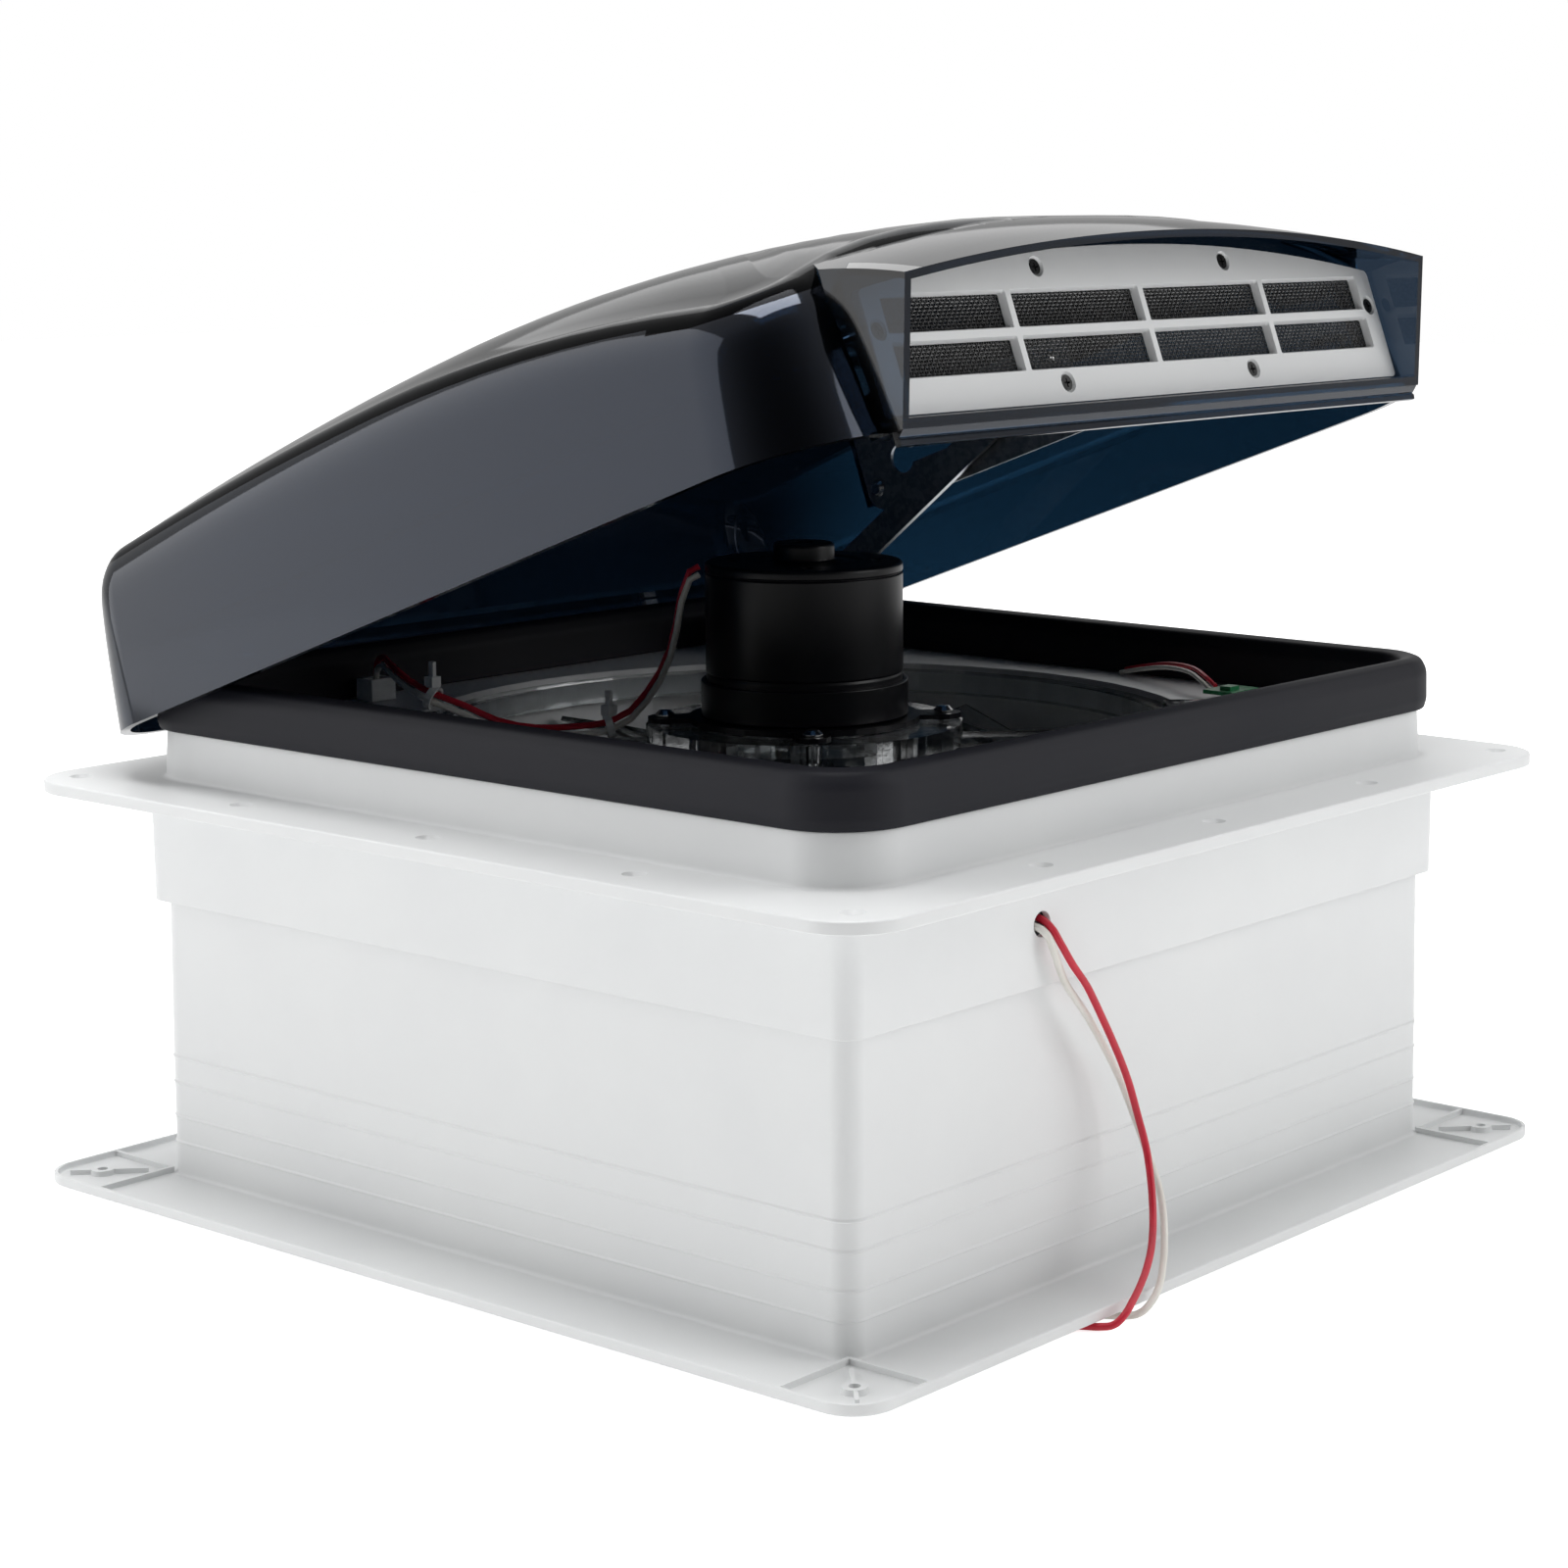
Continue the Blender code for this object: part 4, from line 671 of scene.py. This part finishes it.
def lid_shell():
    shell = lid_body("smoked_lid", 0.0, LID_RIM)
    ledge = plate("ledge", round_outline(0.1848, -0.3570, 0.0050, 0.0368, 0.0267), 0.0216, 0.0240)
    boolean(ledge, ("DIFFERENCE", box("opening", (-0.1660, -(HINGE.y + 0.1660), 0.0100),
                                      (0.1660, -(HINGE.y - 0.1660), 0.0300))))
    low_x = TRACK_X + TRACK_THICK + GAP
    web = side_plate("web", [
        (-0.120, 0.0260), (-0.138, 0.0260), (-0.138, 0.0500), (-0.300, 0.0500),
        (-0.300, crown(0.13, 0.300) - 0.0012), (-0.240, crown(0.13, 0.240) - 0.0012),
        (-0.180, crown(0.13, 0.180) - 0.0012), (-0.120, crown(0.13, 0.120) - 0.0012),
    ], low_x, low_x + 0.0030)
    steps = [
        ("UNION", hood_body("hood", 0.0, 0.3450, 0.0, HOOD_CHAMFER)),
        ("DIFFERENCE", lid_body("hollow", LID_SKIN, LID_RIM - 0.0100)),
        ("DIFFERENCE", hood_body("mouth", LID_SKIN, LID_FRONT + 0.0002, 0.0200)),
        ("UNION", ledge),
        ("UNION", web),
        ("UNION", hood_lip()),
        ("DIFFERENCE", box("vent", (-0.1375, -0.380, 0.0120), (0.1375, -0.340, 0.0430)))]
    for x, rise in GRILLE_SCREWS:
        hole = cylinder("hole", (x, -0.340, rise), (x, -0.380, rise), 0.0020, sides=16)
        steps.append(("DIFFERENCE", hole))
    for run, rise in TRACK_SCREWS:
        hole = cylinder("hole", (0.120, -run, rise), (0.140, -run, rise), 0.0018, sides=16)
        steps.append(("DIFFERENCE", hole))
    boolean(shell, *steps)
    dress(shell, "lid", "smoke_acrylic", "lid_shell", angle=28.0)
    for finish in ("hood_acrylic", "crown_acrylic_painted_shade"):
        shell.data.materials.append(FINISH[finish])
    on_hood_side, on_painted_shade = 1, 2
    for face in shell.data.polygons:
        middle = face.center
        if -middle.y > LID_FRONT + 0.0012 and abs(middle.x) > HOOD_HALF - 0.0042:
            face.material_index = on_hood_side
        # crown faces that face up or down take the darker copy: painted shade
        elif abs(face.normal.z) > 0.6 and middle.z > 0.030:
            face.material_index = on_painted_shade
    into_lid(shell)


# ---------------------------------------------------------------- grille in the hood
def woven(name, low, high, pitch, radius, plane):
    """Plain weave between two corners; plane(u, v, w) turns weave coordinates into a point."""
    shape = bmesh.new()

    def thread(along_u, place, start, end, phase):
        steps = max(2, round((end - start) / pitch) * 2)
        rows = []
        for step in range(steps + 1):
            t = start + (end - start) * step / steps
            over = radius * math.cos(math.pi * (t - start) / pitch + phase * math.pi)
            corners = []
            for side, rise in ((-1, 0), (0, -1), (1, 0), (0, 1)):
                across = place + side * radius
                u, v = (t, across) if along_u else (across, t)
                corners.append(shape.verts.new(plane(u, v, over + rise * radius)))
            rows.append(corners)
        for near, far in zip(rows, rows[1:]):
            for i in range(4):
                j = (i + 1) % 4
                shape.faces.new((near[i], near[j], far[j], far[i]))

    columns = int((high[0] - low[0]) / pitch)
    lines = int((high[1] - low[1]) / pitch)
    for column in range(columns + 1):
        thread(False, low[0] + column * pitch, low[1], high[1], column % 2)
    for line in range(lines + 1):
        thread(True, low[1] + line * pitch, low[0], high[0], (line + 1) % 2)
    return from_bmesh(name, shape)


def countersunk_screw(place, radius):
    """Screw along Y with its head at -Y: a flat rim, a cone, a shank and a cross recess."""
    place = Vector(place)
    inward = Vector((0.0, 1.0, 0.0))
    head = cylinder("grille_screw", place, place + inward * 0.0013, radius, 0.0014, sides=32)
    shank = cylinder("shank", place + inward * 0.0010, place + inward * 0.0090, 0.0014, sides=20)
    steps = [("UNION", shank)]
    for wide, high in ((0.0016, 0.00034), (0.00034, 0.0016)):
        steps.append(("DIFFERENCE", box("slot", place - Vector((wide, 0.0010, high)),
                                        place + Vector((wide, 0.0011, high)))))
    return boolean(head, *steps)


def grille():
    face = GRILLE_FACE
    corners = [(Vector((-GRILLE_HALF, 0.0010)), 0.0022), (Vector((GRILLE_HALF, 0.0010)), 0.0022),
               (Vector((GRILLE_HALF, 0.0428)), 0.0022)]
    for step in range(1, 28):
        x = GRILLE_HALF * (1 - 2 * step / 28)
        corners.append((Vector((x, 0.0428 + 0.0132 * (1 - (x / GRILLE_HALF) ** 2))), 0.0))
    corners.append((Vector((-GRILLE_HALF, 0.0428)), 0.0022))
    outline = eased(corners)
    front = face + GRILLE_THICK
    middle = Vector((0.0, 0.0250))
    rings = []
    for run, shrink in ((face, 0.0), (front - 0.0004, 0.0), (front, 0.0004)):
        ring_points = []
        for p in outline:
            inward = (middle - p).normalized() * shrink
            ring_points.append((p.x + inward.x, -run, p.y + inward.y))
        rings.append(ring_points)
    panel = loft("white_grille", rings)
    steps = []
    columns = [-0.1385, *MULLIONS, 0.1385]
    for bottom, top in GRILLE_ROWS:
        for left, right in zip(columns, columns[1:]):
            left_x, right_x = left + 0.0020, right - 0.0020
            window = []
            for run, grow in ((face - 0.0010, 0.0), (front - 0.0012, 0.0), (front + 0.0010, 0.0011)):
                ring_points = eased([(Vector((left_x - grow, bottom - grow)), 0.0008),
                                     (Vector((right_x + grow, bottom - grow)), 0.0008),
                                     (Vector((right_x + grow, top + grow)), 0.0008),
                                     (Vector((left_x - grow, top + grow)), 0.0008)], 3)
                window.append([(p.x, -run, p.y) for p in ring_points])
            steps.append(("DIFFERENCE", loft("window", window)))
    for x, z in GRILLE_SCREWS:
        hole = cylinder("hole", (x, -face + 0.010, z), (x, -face - 0.010, z), 0.0020, sides=24)
        sink = cylinder("sink", (x, -face - 0.0006, z), (x, -face - GRILLE_THICK - 0.0010, z), 0.0020,
                        0.0044, sides=32)
        steps += [("DIFFERENCE", hole), ("DIFFERENCE", sink)]
    boolean(panel, *steps)
    dress(into_lid(panel), "lid", "white_plastic", "grille_panel", angle=30.0)
    for number, (x, z) in enumerate(GRILLE_SCREWS, 1):
        screw = countersunk_screw((x, -front + 0.0006, z), 0.0027)
        dress(into_lid(screw), "lid", "black_screw", f"grille_screw_{number}")
    weave = woven("hood_screen", (-0.1386, 0.0110), (0.1386, 0.0444), 0.00125, 0.00024,
                  lambda u, v, w: (u, -(face - 0.0006 - w), v))
    dress(into_lid(weave), "lid", "screen_mesh", "grille_mesh")


# ---------------------------------------------------------------- motor
def motor():
    radius, low, high, boss = 0.0375, 0.1775, 0.2360, 0.2430
    loop = [((0.0, boss - 0.0006), 0), ((0.0035, boss - 0.0006), 0), ((0.0040, boss), 0.0003),
            ((0.0115, boss), 0.0016), ((0.0118, high + 0.0004), 0.0008), ((0.0210, high - 0.0006), 0.0006),
            ((0.0225, high + 0.0001), 0.0006), ((0.0330, high), 0.0006), ((0.0375, high), 0.0016),
            ((0.0375, 0.2326), 0.0002), ((0.0369, 0.2320), 0.0002), ((0.0375, 0.2314), 0.0002),
            ((0.0375, 0.1945), 0.0002), ((0.0370, 0.1940), 0.0002), ((0.0373, 0.1930), 0.0002),
            ((radius, low), 0.0003), ((radius - 0.0015, low), 0), ((radius - 0.0015, high - 0.0025), 0),
            ((0.0095, high - 0.0025), 0), ((0.0095, boss - 0.0020), 0), ((0.0, boss - 0.0020), 0)]
    profile = eased([(Vector(p), ease) for p, ease in loop], 4)
    can = spun("motor_housing", profile, 96)
    steps = []
    for number in range(4):
        angle = math.radians(45 + 90 * number)
        x, y = 0.0275 * math.cos(angle), 0.0275 * math.sin(angle)
        dimple = cylinder("dimple", (x, y, high - 0.0016), (x, y, high + 0.001), 0.0021)
        steps.append(("DIFFERENCE", dimple))
    boolean(can, *steps)
    dress(can, "base", "black_motor_paint", "motor_can")
    band = eased([(Vector((0.0394, 0.1910)), 0.0006), (Vector((0.0394, 0.1777)), 0.0006),
                  (Vector((0.0378, 0.1777)), 0.0), (Vector((0.0378, 0.1910)), 0.0)], 4)
    dress(spun("motor_foot_band", band, 96), "base", "black_motor_paint", "motor_band")


# ---------------------------------------------------------------- CAD nodes that stay
NODE_FINISH = {
    "white_plastic": ("fan_deck", "interior_screen_frame", "switch_housing"),
    "clear_polycarbonate": ("motor_bracket", "fan_blades"),
    "black_motor_paint": ("motor_flange",),
    "zinc_steel": ("lift_arm", "lift_slide_pin", "lift_track", "lift_bracket", "lift_pivot_pin",
                   "hinge_base_left", "hinge_base_right", "hinge_pin_left", "hinge_pin_right",
                   "lid_hinge_left", "lid_hinge_right", "upper_bearing", "lower_bearing", "motor_shaft"),
    "screw_chrome": ("motor_screw_1", "motor_screw_2", "motor_screw_3", "motor_screw_4",
                     "track_screw_1", "track_screw_2"),
    "winding_copper": ("armature",),
    "ferrite": ("motor_magnets",),
    "brass": ("hub_nut", "lift_worm"),
    "circuit_board": ("sensor_board",),
    "red_wire": ("motor_lead_red", "sensor_lead_red"),
    "white_wire": ("motor_lead_white", "sensor_lead_white"),
    "natural_nylon": ("motor_lead_tie", "connector_lead_tie", "lead_connector"),
    "grey_plastic": ("lift_knob", "fan_switch", "brush_plate"),
    "screen_mesh": ("interior_screen_mesh",),
}


def finish_nodes():
    for finish, names in NODE_FINISH.items():
        for name in names:
            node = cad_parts[name]
            node.data.materials.clear()
            node.data.materials.append(FINISH[finish])
            for face in node.data.polygons:
                face.use_smooth = True
            node.data.set_sharp_from_angle(angle=math.radians(CREASE))


# ---------------------------------------------------------------- floor and light
def softbox(name, place, aim, size, power):
    lamp = bpy.data.lights.new(name, "AREA")
    lamp.shape = "RECTANGLE"
    lamp.size, lamp.size_y = size
    lamp.energy = power
    holder = bpy.data.objects.new(name, lamp)
    bpy.context.scene.collection.objects.link(holder)
    holder.location = place
    holder.rotation_euler = (Vector(aim) - Vector(place)).to_track_quat("-Z", "Y").to_euler()


def sky():
    """White to the eye; its light is soft and even, and weaker from the camera's side."""
    world = bpy.data.worlds.new("studio")
    world.use_nodes = True
    bpy.context.scene.world = world
    tree = world.node_tree
    place = tree.nodes.new("ShaderNodeTexCoord")
    facing = tree.nodes.new("ShaderNodeVectorMath")
    facing.operation = "DOT_PRODUCT"
    facing.inputs[1].default_value = DIM_SIDE
    tree.links.new(place.outputs["Generated"], facing.inputs[0])
    fade = tree.nodes.new("ShaderNodeMapRange")
    fade.interpolation_type = "SMOOTHSTEP"
    fade.inputs["From Min"].default_value, fade.inputs["From Max"].default_value = SKY_FADE
    fade.inputs["To Min"].default_value = SKY_LIGHT
    fade.inputs["To Max"].default_value = SKY_DIM
    tree.links.new(facing.outputs["Value"], fade.inputs["Value"])
    path = tree.nodes.new("ShaderNodeLightPath")
    shown = tree.nodes.new("ShaderNodeMapRange")
    shown.inputs["To Max"].default_value = 1.0
    tree.links.new(path.outputs["Is Camera Ray"], shown.inputs["Value"])
    tree.links.new(fade.outputs["Result"], shown.inputs["To Min"])
    background = tree.nodes["Background"]
    background.inputs["Color"].default_value = (1.0, 1.0, 1.0, 1.0)
    tree.links.new(shown.outputs["Result"], background.inputs["Strength"])


def studio():
    low = (-FLOOR_HALF, -FLOOR_HALF, FLOOR_TOP - FLOOR_THICK)
    floor = box("floor", low, (FLOOR_HALF, FLOOR_HALF, FLOOR_TOP))
    paper = surface("floor_paper", grey(0.90), grey(0.92), 2, (0.70, 0.80), 300, 0.00002)
    tree = paper.node_tree
    glow = tree.nodes["Principled BSDF"]
    glow.inputs["Emission Color"].default_value = (1.0, 1.0, 1.0, 1.0)
    path = tree.nodes.new("ShaderNodeLightPath")
    shown = tree.nodes.new("ShaderNodeMapRange")
    shown.inputs["To Min"].default_value = FLOOR_GLOW
    shown.inputs["To Max"].default_value = FLOOR_SHOWN
    tree.links.new(path.outputs["Is Camera Ray"], shown.inputs["Value"])
    tree.links.new(shown.outputs["Result"], glow.inputs["Emission Strength"])
    floor.data.materials.append(paper)
    sky()
    for name, settings in SOFTBOXES.items():
        softbox(name, *settings)
    bpy.context.scene.view_settings.view_transform = "Standard"


trim_frame()
roof_base()
lid_seal()
lid_shell()
grille()
motor()
finish_nodes()
studio()
